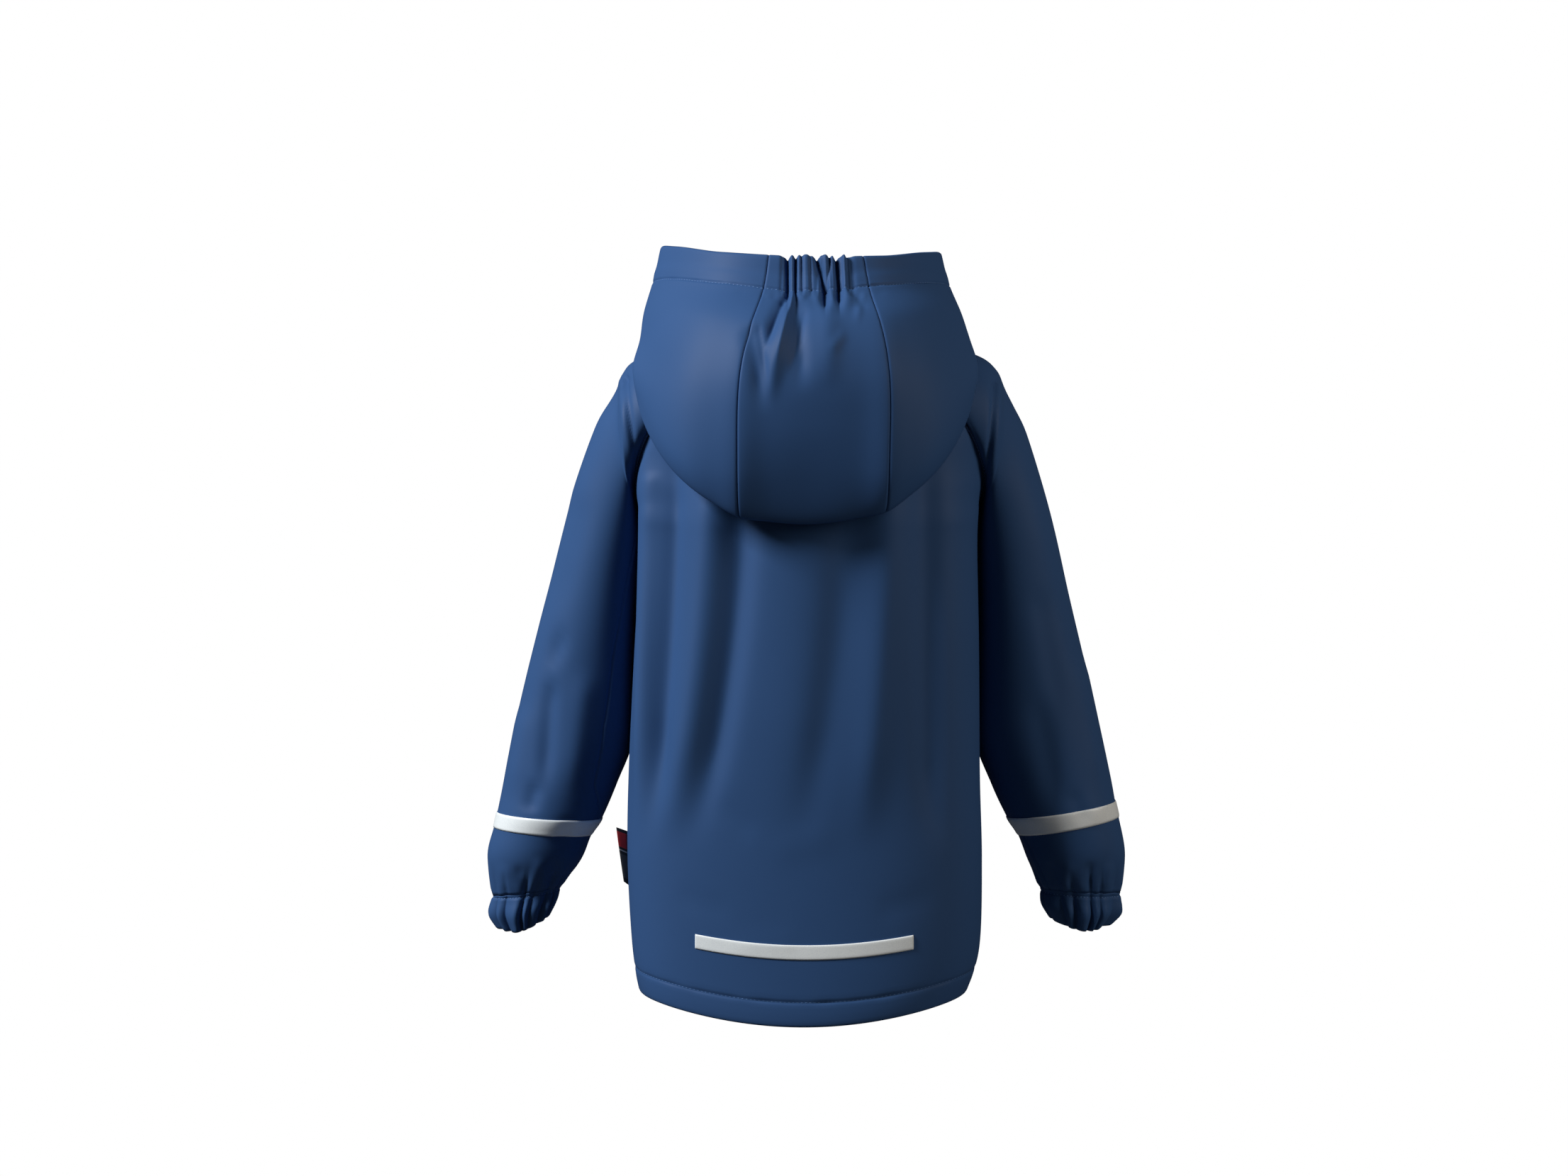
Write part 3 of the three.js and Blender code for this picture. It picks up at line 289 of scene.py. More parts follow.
def sleevePoint(side, turn, section):
    points = sleeveLine(side, turn)
    point = throughPoints(points, range(len(points)), section)
    return point if side == "left" else Vector((-point.x, point.y, point.z))


def neckPlace(around):
    return tableAt([{"station": s, "place": p} for s, p in zip(hoodStations, neckAtStation)],
                   "station", around)["place"]


def hoodHalf(around, section):
    columns = []
    first = max(0, int(section) - 1)
    for row in hoodRows[first:int(section) + 3]:
        back = Vector(row["back"])
        points = [Vector((-back.x, back.y, back.z)), Vector(row["centre"]), back, Vector(row["corner"]),
                  Vector(row["side"]), Vector(row["cheek"]), neckline(row["neck"])]
        columns.append(throughPoints(points, (-hoodStations[1],) + hoodStations, around))
    if first + len(columns) == hoodEnd:
        columns.append(neckline(neckPlace(around)))
    return throughPoints(columns, range(first, first + len(columns)), section)


hoodSet = [{"section": i, "lean": row["lean"], "tilt": row["tilt"]} for i, row in enumerate(hoodRows)]


@lru_cache(None)
def hoodSetAt(section):
    return tableAt(hoodSet, "section", min(section, hoodEnd - 1))


def hoodPoint(around, section):
    point = hoodHalf(abs(around), section)
    if around < 0:
        point.x = -point.x
    setRow = hoodSetAt(section)
    free = smooth((1 - abs(around)) / 0.25)
    point.x += setRow["lean"] * free
    point.z += setRow["tilt"] * free * point.x / hoodRows[0]["corner"][0]
    return point


@lru_cache(None)
def seamAround(section, side):
    row = tableAt(middlePanel, "section", section)
    x, low, high = row["shift"] + side * row["half"], -0.6, 0.6
    for _ in range(22):
        middle = (low + high) / 2
        low, high = (middle, high) if hoodPoint(middle, section).x < x else (low, middle)
    return (low + high) / 2


# Cloth pieces from grids of points

def gridOf(downList, acrossList, pointAt):
    return np.array([[pointAt(across, down)[:] for across in acrossList(down)] for down in downList])


def facingsOf(points, closed, flip):
    if closed:
        across = np.roll(points, -1, 1) - np.roll(points, 1, 1)
    else:
        across = np.gradient(points, axis=1)
    along = np.gradient(points, axis=0)
    normal = np.cross(across, along) * flip
    return normal / np.maximum(1e-9, np.linalg.norm(normal, axis=2, keepdims=True))


def runs(points, axis):
    steps = np.linalg.norm(np.diff(points, axis=axis), axis=2)
    start = np.zeros_like(points[:, :1, 0] if axis else points[:1, :, 0])
    fromStart = np.concatenate([start, np.cumsum(steps, axis)], axis)
    total = fromStart[:, -1:] if axis else fromStart[-1:, :]
    return fromStart, total - fromStart


def spread(cells, edge=(0, 0.35, 0.8, 1.5, 2.6), width=290, ends=(True, True)):
    low = [d / width for d in edge] if ends[0] else [0]
    high = [1 - d / width for d in reversed(edge)] if ends[1] else [1]
    start, stop = low[-1], high[0]
    middle = [start + (stop - start) * k / cells for k in range(1, cells)]
    return low + middle + high


def clothMesh(name, points, closed):
    rows, columns = points.shape[:2]
    bm = bmesh.new()
    cells = columns if closed else columns - 1
    bmesh.ops.create_grid(bm, x_segments=cells, y_segments=rows - 1, size=0.5)
    uv = bm.loops.layers.uv.new("cloth")
    for vert in bm.verts:
        i = round((vert.co.y + 0.5) * (rows - 1))
        j = round((vert.co.x + 0.5) * cells)
        for loop in vert.link_loops:
            loop[uv].uv = (vert.co.x + 0.5, vert.co.y + 0.5)
        vert.co = Vector(points[i][j % columns]) * mm
    bmesh.ops.remove_doubles(bm, verts=bm.verts, dist=1e-6)
    mesh = bpy.data.meshes.new(name)
    bm.to_mesh(mesh)
    bm.free()
    return mesh


def turnOut(mesh, points, facings):
    bm = bmesh.new()
    bm.from_mesh(mesh)
    rows, columns = points.shape[:2]
    wanted = Vector(facings[rows // 2][columns // 2])
    middle = Vector(points[rows // 2][columns // 2]) * mm
    bm.faces.ensure_lookup_table()
    nearest = min(bm.faces, key=lambda face: (face.calc_center_median() - middle).length)
    if nearest.normal.dot(wanted) < 0:
        bmesh.ops.reverse_faces(bm, faces=bm.faces)
    bm.to_mesh(mesh)
    bm.free()


def addCloth(name, points, facings, closed=False, thickness=1.2, materials=(), node=None):
    mesh = clothMesh(name, points, closed)
    turnOut(mesh, points, facings)
    for face in mesh.polygons:
        face.use_smooth = True
    piece = bpy.data.objects.new(name, mesh)
    bpy.context.scene.collection.objects.link(piece)
    for material in materials:
        mesh.materials.append(material)
    wallMod = piece.modifiers.new("wall", "SOLIDIFY")
    wallMod.thickness = thickness * mm
    wallMod.offset = -1
    wallMod.use_even_offset = False
    wallMod.material_offset = 1 if len(materials) > 1 else 0
    wallMod.material_offset_rim = 0
    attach(piece, "root")
    if node:
        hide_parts(node)
    return piece


# Finishes

def newMaterial(name):
    material = bpy.data.materials.new(name)
    material.use_nodes = True
    nodes = material.node_tree.nodes
    return material, nodes, material.node_tree.links, nodes["Principled BSDF"]


def newGroup(name, inputs, outputs):
    group = bpy.data.node_groups.new(name, "ShaderNodeTree")
    for socket, kind, value in inputs:
        made = group.interface.new_socket(name=socket, in_out="INPUT", socket_type=kind)
        if value is not None:
            made.default_value = value
    for socket, kind in outputs:
        group.interface.new_socket(name=socket, in_out="OUTPUT", socket_type=kind)
    return group, group.nodes.new("NodeGroupInput"), group.nodes.new("NodeGroupOutput")


def addNode(nodes, kind, **settings):
    node = nodes.new(kind)
    for key, value in settings.items():
        if key in node.inputs:
            node.inputs[key].default_value = value
        else:
            setattr(node, key, value)
    return node


# Slow changes of shade and sheen and a fine grain, as a coated or woven surface has
def makeUnevenGroup():
    group, given, result = newGroup("unevenSurface", [
        ("Coordinates", "NodeSocketVector", None), ("Colour", "NodeSocketColor", (1, 1, 1, 1)),
        ("Shade Size", "NodeSocketFloat", 12.0), ("Shade Amount", "NodeSocketFloat", 0.1),
        ("Roughness", "NodeSocketFloat", 0.4), ("Roughness Amount", "NodeSocketFloat", 0.05),
        ("Grain Size", "NodeSocketFloat", 1500.0),
    ], [("Colour", "NodeSocketColor"), ("Roughness", "NodeSocketFloat"), ("Grain", "NodeSocketFloat")])
    nodes, links = group.nodes, group.links
    slow = addNode(nodes, "ShaderNodeTexNoise", Detail=3.0, Roughness=0.5)
    links.new(given.outputs["Coordinates"], slow.inputs["Vector"])
    links.new(given.outputs["Shade Size"], slow.inputs["Scale"])
    centred = addNode(nodes, "ShaderNodeMath", operation="SUBTRACT")
    links.new(slow.outputs[0], centred.inputs[0])
    centred.inputs[1].default_value = 0.5
    shade = addNode(nodes, "ShaderNodeMath", operation="MULTIPLY_ADD")
    links.new(centred.outputs[0], shade.inputs[0])
    links.new(given.outputs["Shade Amount"], shade.inputs[1])
    shade.inputs[2].default_value = 1.0
    tinted = addNode(nodes, "ShaderNodeVectorMath", operation="SCALE")
    links.new(given.outputs["Colour"], tinted.inputs[0])
    links.new(shade.outputs[0], tinted.inputs["Scale"])
    rough = addNode(nodes, "ShaderNodeMath", operation="MULTIPLY_ADD")
    links.new(centred.outputs[0], rough.inputs[0])
    links.new(given.outputs["Roughness Amount"], rough.inputs[1])
    links.new(given.outputs["Roughness"], rough.inputs[2])
    grain = addNode(nodes, "ShaderNodeTexNoise", Detail=2.0)
    links.new(given.outputs["Coordinates"], grain.inputs["Vector"])
    links.new(given.outputs["Grain Size"], grain.inputs["Scale"])
    links.new(tinted.outputs[0], result.inputs["Colour"])
    links.new(rough.outputs[0], result.inputs["Roughness"])
    links.new(grain.outputs[0], result.inputs["Grain"])
    return group


unevenSurface = makeUnevenGroup()


def surfaceMaterial(name, settings):
    material, nodes, links, shader = newMaterial(name)
    place = nodes.new("ShaderNodeTexCoord")
    uneven = nodes.new("ShaderNodeGroup")
    uneven.node_tree = unevenSurface
    uneven.inputs["Colour"].default_value = settings["colour"] + (1,)
    for key in ("Shade Size", "Shade Amount", "Roughness", "Roughness Amount", "Grain Size"):
        uneven.inputs[key].default_value = settings[key]
    bump = addNode(nodes, "ShaderNodeBump", Strength=settings["bump"], Distance=settings["depth"] * mm)
    links.new(place.outputs["Object"], uneven.inputs["Coordinates"])
    links.new(uneven.outputs["Grain"], bump.inputs["Height"])
    links.new(uneven.outputs["Colour"], shader.inputs["Base Color"])
    links.new(uneven.outputs["Roughness"], shader.inputs["Roughness"])
    links.new(bump.outputs[0], shader.inputs["Normal"])
    shader.inputs["Specular IOR Level"].default_value = settings.get("specular", 0.5)
    shader.inputs["Sheen Weight"].default_value = settings.get("sheen", 0)
    shader.inputs["Metallic"].default_value = settings.get("metal", 0)
    return material


coating = surfaceMaterial("satinCoating", {
    "colour": (0.034, 0.088, 0.226), "Shade Size": 9.0, "Shade Amount": 0.10, "Roughness": 0.55,
    "Roughness Amount": 0.06, "Grain Size": 1100.0, "bump": 0.12, "depth": 0.1, "specular": 0.11})
backing = surfaceMaterial("knitBacking", {
    "colour": (0.014, 0.032, 0.085), "Shade Size": 20.0, "Shade Amount": 0.2, "Roughness": 0.85,
    "Roughness Amount": 0.1, "Grain Size": 1600.0, "bump": 0.5, "depth": 0.25, "sheen": 0.2})
silver = surfaceMaterial("beadedTape", {
    "colour": (0.90, 0.965, 1.0), "Shade Size": 1300.0, "Shade Amount": 0.3, "Roughness": 0.4,
    "Roughness Amount": 0.3, "Grain Size": 1900.0, "bump": 0.35, "depth": 0.15, "specular": 0.9})
thread = surfaceMaterial("blueThread", {
    "colour": (0.075, 0.17, 0.38), "Shade Size": 400.0, "Shade Amount": 0.3, "Roughness": 0.6,
    "Roughness Amount": 0.1, "Grain Size": 3000.0, "bump": 0.3, "depth": 0.1})
moulded = surfaceMaterial("mouldedStud", {
    "colour": (0.02, 0.05, 0.14), "Shade Size": 40.0, "Shade Amount": 0.1, "Roughness": 0.28,
    "Roughness Amount": 0.1, "Grain Size": 900.0, "bump": 0.05, "depth": 0.1})


# Woven label: a plain block, a thin line and a band across black, none with lettering
def labelMaterial():
    material, nodes, links, shader = newMaterial("wovenLabel")
    place = addNode(nodes, "ShaderNodeUVMap", uv_map="cloth")
    parts = nodes.new("ShaderNodeSeparateXYZ")
    ramp = nodes.new("ShaderNodeValToRGB")
    ramp.color_ramp.interpolation = "CONSTANT"
    marks = ((0.0, (0.010, 0.010, 0.012)), (0.07, (0.36, 0.014, 0.020)), (0.37, (0.010, 0.010, 0.012)),
             (0.415, (0.36, 0.36, 0.36)), (0.44, (0.010, 0.010, 0.012)), (0.5, (0.045, 0.047, 0.052)),
             (0.92, (0.010, 0.010, 0.012)))
    stops = ramp.color_ramp.elements
    while len(stops) < len(marks):
        stops.new(1)
    for stop, (at, colour) in zip(stops, marks):
        stop.position = at
        stop.color = colour + (1,)
    weave = addNode(nodes, "ShaderNodeTexNoise", Scale=2600.0)
    own = nodes.new("ShaderNodeTexCoord")
    bump = addNode(nodes, "ShaderNodeBump", Strength=0.4, Distance=0.0001)
    links.new(place.outputs[0], parts.inputs[0])
    links.new(parts.outputs["Y"], ramp.inputs[0])
    links.new(ramp.outputs[0], shader.inputs["Base Color"])
    links.new(own.outputs["Object"], weave.inputs["Vector"])
    links.new(weave.outputs[0], bump.inputs["Height"])
    links.new(bump.outputs[0], shader.inputs["Normal"])
    shader.inputs["Roughness"].default_value = 0.6
    return material


labelFace = labelMaterial()
print("finishes made")


# Stitches, each a small raised ellipsoid, along lines of points and the facings there

stitchSize = {"pitch": 3.4, "long": 2.4, "wide": 0.85, "high": 0.8, "sink": 0.1}


def addStitches(name, lines, carrier, pitch=stitchSize["pitch"]):
    bm = bmesh.new()
    size = Matrix.Diagonal((stitchSize["long"] / 2, stitchSize["wide"] / 2, stitchSize["high"] / 2, 1))
    for points, facings in lines:
        steps = np.linalg.norm(np.diff(points, axis=0), axis=1)
        place = np.concatenate([[0], np.cumsum(steps)])
        for k in range(int(place[-1] / pitch)):
            at = (k + 0.5) * pitch
            spots = [Vector([np.interp(at + d, place, points[:, a]) for a in range(3)]) for d in (-1, 0, 1)]
            facing = Vector([np.interp(at, place, facings[:, a]) for a in range(3)]).normalized()
            along = (spots[2] - spots[0]).normalized()
            aside = facing.cross(along).normalized()
            middle = spots[1] - facing * stitchSize["sink"]
            frameAt = Matrix((along, aside, facing)).transposed().to_4x4()
            bmesh.ops.create_icosphere(bm, subdivisions=1, radius=mm, matrix=Matrix.Translation(middle * mm)
                                       @ frameAt @ size)
    mesh = bpy.data.meshes.new(name)
    bm.to_mesh(mesh)
    bm.free()
    for face in mesh.polygons:
        face.use_smooth = True
    mesh.materials.append(thread)
    piece = bpy.data.objects.new(name, mesh)
    bpy.context.scene.collection.objects.link(piece)
    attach(piece, "root")
    trims.setdefault(carrier, []).append(piece)


# The line of a cloth's grid at a distance from its first row
def lineAt(points, facings, distance):
    down = runs(points, 0)[0]
    spots, faces = [], []
    for j in range(points.shape[1]):
        spots.append([np.interp(distance, down[:, j], points[:, j, a]) for a in range(3)])
        faces.append([np.interp(distance, down[:, j], facings[:, j, a]) for a in range(3)])
    return np.array(spots), np.array(faces)


trims = {}


# Takes a cloth's points, joined all round where it is a tube, and keeps nothing
def noteCut(points, closed=False):
    if closed:
        points = np.concatenate([points, points[:, :1]], 1)


# Body panels

body = {"rows": 120, "backCells": 120, "frontCells": 52, "seamDip": 1.0, "seamWidth": 0.65,
        "hemGroove": 1.1, "hemGrooveWidth": 1.0, "hemPuff": 0.5, "hemPuffAt": 11, "hemPuffWidth": 8,
        "edgeDip": 0.9, "edgeWidth": 0.8, "plainBand": 36, "plainFade": 12, "placketStitch": 5,
        "placketReach": 18, "placketLift": 2.3,
        "placketRamp": 8}
backFolds = [dict(zip(foldColumns, row)) for row in (
    (130, -90, 139, -420, 8, 5.8), (107, -100, 126, -420, 9, -7.6), (76, -100, 108, -420, 13, 6.2),
    (48, -100, 88, -420, 12, -6.2), (-34, -110, 0, -420, 15, -3), (-66, -110, -46, -420, 15, 4.6),
    (-98, -90, -102, -420, 13, -4.6),
)]
# Slight dents and ripples that are too fine for the solid
backRipples = [dict(zip(foldColumns, row)) for row in (
    (12, -150, 4, -400, 40, 4), (141, -150, 143, -420, 8, -3.2), (124, -130, 132, -350, 5, 1.6),
    (118, -330, 112, -395, 7, -0.9), (66, -395, 40, -420, 10, -0.8), (-96, -360, -112, -430, 9, -0.9),
    (-20, -420, 30, -432, 12, 0.6), (100, -470, 60, -482, 9, -0.6), (-60, -480, -105, -470, 9, -0.6),
    (10, -505, 60, -508, 8, 0.5),
)]
frontFolds = [dict(zip(foldColumns, row)) for row in (
    (112, -110, 118, -420, 11, -3), (84, -110, 96, -430, 13, 3.2), (52, -130, 62, -400, 13, -2.6),
    (-60, -130, -70, -400, 14, -2.6), (-88, -110, -98, -430, 14, 3), (-114, -110, -120, -420, 11, -3),
)]


def backRelief(x, z, across):
    height = np.zeros_like(x)
    for fold in backFolds:
        along = (fold["topZ"] - z) / (fold["topZ"] - fold["footZ"])
        middle = fold["topX"] + (fold["footX"] - fold["topX"]) * np.clip(along, 0, 1) ** 2
        ends = smoothAll((along + 0.05) / 0.25) * smoothAll((1.05 - along) / 0.3)
        height += fold["height"] * ends * bellAll(x - middle, fold["width"])
    return (height + foldsHeight(backRipples, x, z)) * smoothAll((1 - np.abs(across)) / 0.12)


hemSteps = (-0.03, 0, 0.03, 0.08, 0.16, 0.26, 0.36, 0.46, 0.54, 0.58, 0.6)   # finer rows around its stitching


def bodyLevels():
    rows = body["rows"]
    levels = [hemStitchLevel * k / rows for k in range(rows)]
    return levels + [hemStitchLevel + step for step in hemSteps]


bodyLevelList = sorted(bodyLevels())
hemRow = bodyLevelList.index(hemStitchLevel)


# A seam's edge rolls in, and the hem's stitching draws the two layers together
def edgeRelief(points, seamRight=True):
    fromLeft, fromRight = runs(points, 1)
    height = -body["seamDip"] * bellAll(fromLeft, body["seamWidth"])
    if seamRight:
        height -= body["seamDip"] * bellAll(fromRight, body["seamWidth"])
    down, up = runs(points, 0)
    hemDown = down - down[[hemRow]]
    pucker = 1 + 0.35 * np.sin(fromLeft / 5.3) * np.sin(fromLeft / 17.9)
    height -= body["hemGroove"] * pucker * bellAll(hemDown, body["hemGrooveWidth"])
    height += body["hemPuff"] * bellAll(hemDown - body["hemPuffAt"], body["hemPuffWidth"])
    height -= body["edgeDip"] * bellAll(up, body["edgeWidth"])
    return height


def makeBack():
    across = [2 * t - 1 for t in spread(body["backCells"])]
    points = gridOf(bodyLevelList, lambda level: across, lambda a, level: bodyPoint("back", a, level))
    facings = facingsOf(points, False, 1)
    height = edgeRelief(points) + backRelief(points[..., 0], points[..., 2], np.array(across)[None, :])
    points = points + facings * height[..., None]
    return points, facingsOf(points, False, 1)


backPoints, backFacings = makeBack()
backCloth = addCloth("back_cloth", backPoints, backFacings, materials=(coating, backing), node="back_panel")
addStitches("back_hem_stitches", [(backPoints[hemRow], backFacings[hemRow])], "back_cloth")
noteCut(backPoints)


def makeFront(side):
    sign = 1 if side == "left" else -1
    reach = body["placketReach"]
    shares = spread(body["frontCells"], width=160)

    def acrossList(level):
        edge = acrossAt("front", -sign * reach, level)
        return [lerp(sign, edge, math.sin(t * math.pi / 2)) for t in shares]

    points = gridOf(bodyLevelList, acrossList, lambda a, level: bodyPoint("front", a, level))
    facings = facingsOf(points, False, sign)
    height = edgeRelief(points, seamRight=False)
    fromSeam, fromEdge = runs(points, 1)
    height += foldsHeight(frontFolds, points[..., 0], points[..., 2]) * smoothAll(fromSeam / 18) * smoothAll(
        (fromEdge - body["plainBand"]) / body["plainFade"])
    height -= 0.8 * bellAll(fromEdge, 0.8)
    if side == "left":
        lap = smoothAll((reach + 1 + body["placketRamp"] - points[..., 0]) / body["placketRamp"])
        height += body["placketLift"] * lap
        height -= 0.5 * bellAll(fromEdge - body["placketStitch"], 0.9)
    points = points + facings * height[..., None]
    return points, facingsOf(points, False, sign)


for side in ("left", "right"):
    frontPoints, frontFacings = makeFront(side)
    frontCloth = addCloth("front_cloth_" + side, frontPoints, frontFacings, materials=(coating, backing),
                          node="front_" + side)
    lines = [(frontPoints[hemRow], frontFacings[hemRow])]
    if side == "left":
        spots, faces = lineAt(frontPoints.transpose(1, 0, 2)[::-1], frontFacings.transpose(1, 0, 2)[::-1],
                              body["placketStitch"])
        lines.append((spots, faces))
    addStitches("front_stitches_" + side, lines, "front_cloth_" + side)
    noteCut(frontPoints)


# Sleeves

sleeve = {"around": 110, "down": 120, "stitchAway": 4.2, "strip": 1.3, "groove": 1.5, "gather": 2.2}
# Where the underarm seam runs around each sleeve, by section
seamTurns = {
    "left": ((0, 0.5), (1, 0.5), (4, 0.42), (6, 0.37), (7, 0.343), (8, 0.334), (9, 0.36), (9.7, 0.43),
             (10.5, 0.47), (13, 0.5)),
    "right": ((0, 0.5), (8, 0.5), (10, 0.47), (11.5, 0.43), (13, 0.4)),
}
# Creases on the back of each sleeve, x counted outward
sleeveCreases = {
    "left": [dict(zip(foldColumns, row)) for row in (
        (149, -44, 139, -110, 2.2, -2.4), (154, -46, 144, -108, 3, 1.4), (168, -70, 196, -170, 14, 1.6),
        (190, -150, 208, -240, 12, -1.8), (203, -262, 216, -288, 8, -2.6), (214, -305, 218, -388, 8, -3.8),
        (226, -388, 232, -410, 7, -2.6),
        (238, -330, 247, -395, 9, 2.2), (184, -300, 196, -395, 11, 2.4), (196, -418, 208, -440, 7, -1.2),
        (240, -458, 237, -480, 5, -1.6), (222, -452, 226, -478, 5, 1.4), (253, -458, 250, -480, 5, 1.4),
        (209, -452, 216, -474, 4, -1.2),
    )],
    "right": [dict(zip(foldColumns, row)) for row in (
        (158, -48, 149, -133, 2.2, -2.4), (163, -50, 154, -128, 3, 1.4), (178, -80, 212, -230, 14, 2),
        (198, -230, 216, -330, 10, -1.8),
        (236, -290, 248, -390, 10, 1.6), (196, -320, 212, -400, 10, -1.8), (226, -395, 236, -420, 7, -1.4),
        (224, -455, 221, -478, 5, 1.5), (242, -455, 240, -478, 5, -1.6), (258, -456, 256, -478, 5, 1.4),
        (208, -455, 212, -474, 4, -1.2),
    )],
}


def seamTurnAt(side, section):
    return float(np.interp(section, *zip(*seamTurns[side])))


def turnList(side, section, cells, fine):
    seamTurn = seamTurnAt(side, section)
    even = {round(k / cells, 5) for k in range(cells)}
    near = {0.5 + d for d in (-0.012, -0.006, -0.0025, 0, 0.0025, 0.006, 0.012)} if fine else set()
    marks = sorted(even | near)
    return [t * seamTurn / 0.5 if t <= 0.5 else 1 - (1 - t) * (1 - seamTurn) / 0.5 for t in marks]


# Creases of a sleeve's back, and weaker ones a little aside on its front
def sleeveRelief(side, points, backness):
    x = np.abs(points[..., 0])
    behind = foldsHeight(sleeveCreases[side], x, points[..., 2])
    before = foldsHeight(sleeveCreases[side], x + 7, points[..., 2] + 9)
    weight = smoothAll(backness * 1.6 + 0.5)
    return behind * weight + 0.8 * before * (1 - weight)


def sleeveFlip(side):
    return -1 if side == "left" else 1


def makeSleeve(side):
    sections = [0, 0.03, 0.07, 0.12, 0.18, 0.26, 0.36] + [0.5 + 12.5 * k / sleeve["down"] for k in
                                                          range(sleeve["down"] + 1)]
    turns = np.array([turnList(side, s, sleeve["around"], True) for s in sections])
    rows = {s: list(row) for s, row in zip(sections, turns)}
    points = gridOf(sections, lambda s: rows[s], lambda turn, s: sleevePoint(side, turn, s))
    facings = facingsOf(points, True, sleeveFlip(side))
    down = runs(points, 0)[0]
    height = -body["seamDip"] * bellAll(down, body["seamWidth"])
    height -= sleeve["groove"] * bellAll(down - sleeve["stitchAway"], 1.1)
    height += sleeve["strip"] * bellAll(down - sleeve["stitchAway"] / 2, 1.1)
    height += 0.5 * sleeve["strip"] * bellAll(down - 1.8 * sleeve["stitchAway"], 2)
    around = runs(points, 1)[0]
    seamColumn = int(np.argmin(np.abs(turns[0] - 0.5)))
    fromSeam = around - around[:, [seamColumn]]
    inSeam = smoothAll((down - 6) / 4)
    height -= 0.9 * inSeam * bellAll(fromSeam, 0.9)
    height += 0.35 * inSeam * bellAll(fromSeam - 3, 2)
    reach = np.array(sections)[:, None]
    height += sleeveRelief(side, points, np.sin(turns * 2 * math.pi))
    low = smoothAll((reach - 12) / 1)
    pleats = np.array([[gatherWave(side, turn) for turn in row] for row in turns])
    height += sleeve["gather"] * low * pleats * (1 - 0.5 * smoothAll((reach - 12.8) / 0.2))
    points = points + facings * height[..., None]
    return points, facingsOf(points, True, sleeveFlip(side))


# Uneven pleats round a cuff: broad puffs with sharp valleys between them
def gatherWave(side, turn):
    shift = 0.4 if side == "left" else 2.1
    phase = turn * cuff["folds"] * math.pi + 0.8 * math.sin(turn * 6 * math.pi + shift) + 0.5 * math.sin(
        turn * 14 * math.pi + 2 * shift)
    swell = 0.8 + 0.35 * math.sin(turn * 10 * math.pi + 3 * shift)
    return swell * (2 * abs(math.cos(phase)) ** 0.8 - 1)


cuff = {"around": 300, "down": 26, "folds": 15, "stitchAt": 0.42}

for side in ("left", "right"):
    sleevePoints, sleeveFacings = makeSleeve(side)
    sleeveCloth = addCloth("sleeve_cloth_" + side, sleevePoints, sleeveFacings, closed=True,
                           materials=(coating, backing), node="sleeve_" + side)
    spots, faces = lineAt(sleevePoints, sleeveFacings, sleeve["stitchAway"])
    addStitches("raglan_stitches_" + side, [(spots, faces)], "sleeve_cloth_" + side)
    noteCut(sleevePoints, closed=True)


# Reflective ring on each sleeve

tape = {"around": 150, "down": 12, "sections": (10, 11), "lift": 0.9, "thickness": 0.5,
        "edgeDip": 0.35, "edgeWidth": 0.8}


def makeSleeveTape(side):
    first, last = tape["sections"]
    sections = [first + (last - first) * k / tape["down"] for k in range(tape["down"] + 1)]
    turns = np.array([turnList(side, s, tape["around"], False) for s in sections])
    rows = {s: list(row) for s, row in zip(sections, turns)}
    points = gridOf(sections, lambda s: rows[s], lambda turn, s: sleevePoint(side, turn, s))
    facings = facingsOf(points, True, sleeveFlip(side))
    height = sleeveRelief(side, points, np.sin(turns * 2 * math.pi)) + tape["lift"]
    down, up = runs(points, 0)
    height -= tape["edgeDip"] * (bellAll(down, tape["edgeWidth"]) + bellAll(up, tape["edgeWidth"]))
    points = points + facings * height[..., None]
    return points, facingsOf(points, True, sleeveFlip(side))


for side in ("left", "right"):
    ringPoints, ringFacings = makeSleeveTape(side)
    ring = addCloth("tape_cloth_" + side, ringPoints, ringFacings, closed=True, thickness=tape["thickness"],
                    materials=(silver,), node="sleeve_tape_" + side)
    noteCut(ringPoints, closed=True)


# Strip on the back

backStrip = {"topLevel": 10.58, "footLevel": 10.74, "left": 88, "right": -87, "cells": 150, "down": 12}


def makeBackTape():
    low, high = backStrip["right"], backStrip["left"]
    top, foot = backStrip["topLevel"], backStrip["footLevel"]
    levels = [lerp(top, foot, k / backStrip["down"]) for k in range(backStrip["down"] + 1)]
    places = [lerp(low, high, k / backStrip["cells"]) for k in range(backStrip["cells"] + 1)]
    points = gridOf(levels, lambda level: places,
                    lambda x, level: bodyPoint("back", acrossAt("back", x, level), level))
    facings = facingsOf(points, False, 1)
    height = backRelief(points[..., 0], points[..., 2], np.zeros((1, 1))) + tape["lift"]
    down, up = runs(points, 0)
    height -= tape["edgeDip"] * (bellAll(down, tape["edgeWidth"]) + bellAll(up, tape["edgeWidth"]))
    points = points + facings * height[..., None]
    return points, facingsOf(points, False, 1)


stripPoints, stripFacings = makeBackTape()
strip = addCloth("tape_cloth_back", stripPoints, stripFacings, thickness=tape["thickness"],
                 materials=(silver,), node="back_tape")
noteCut(stripPoints)


# Cuffs

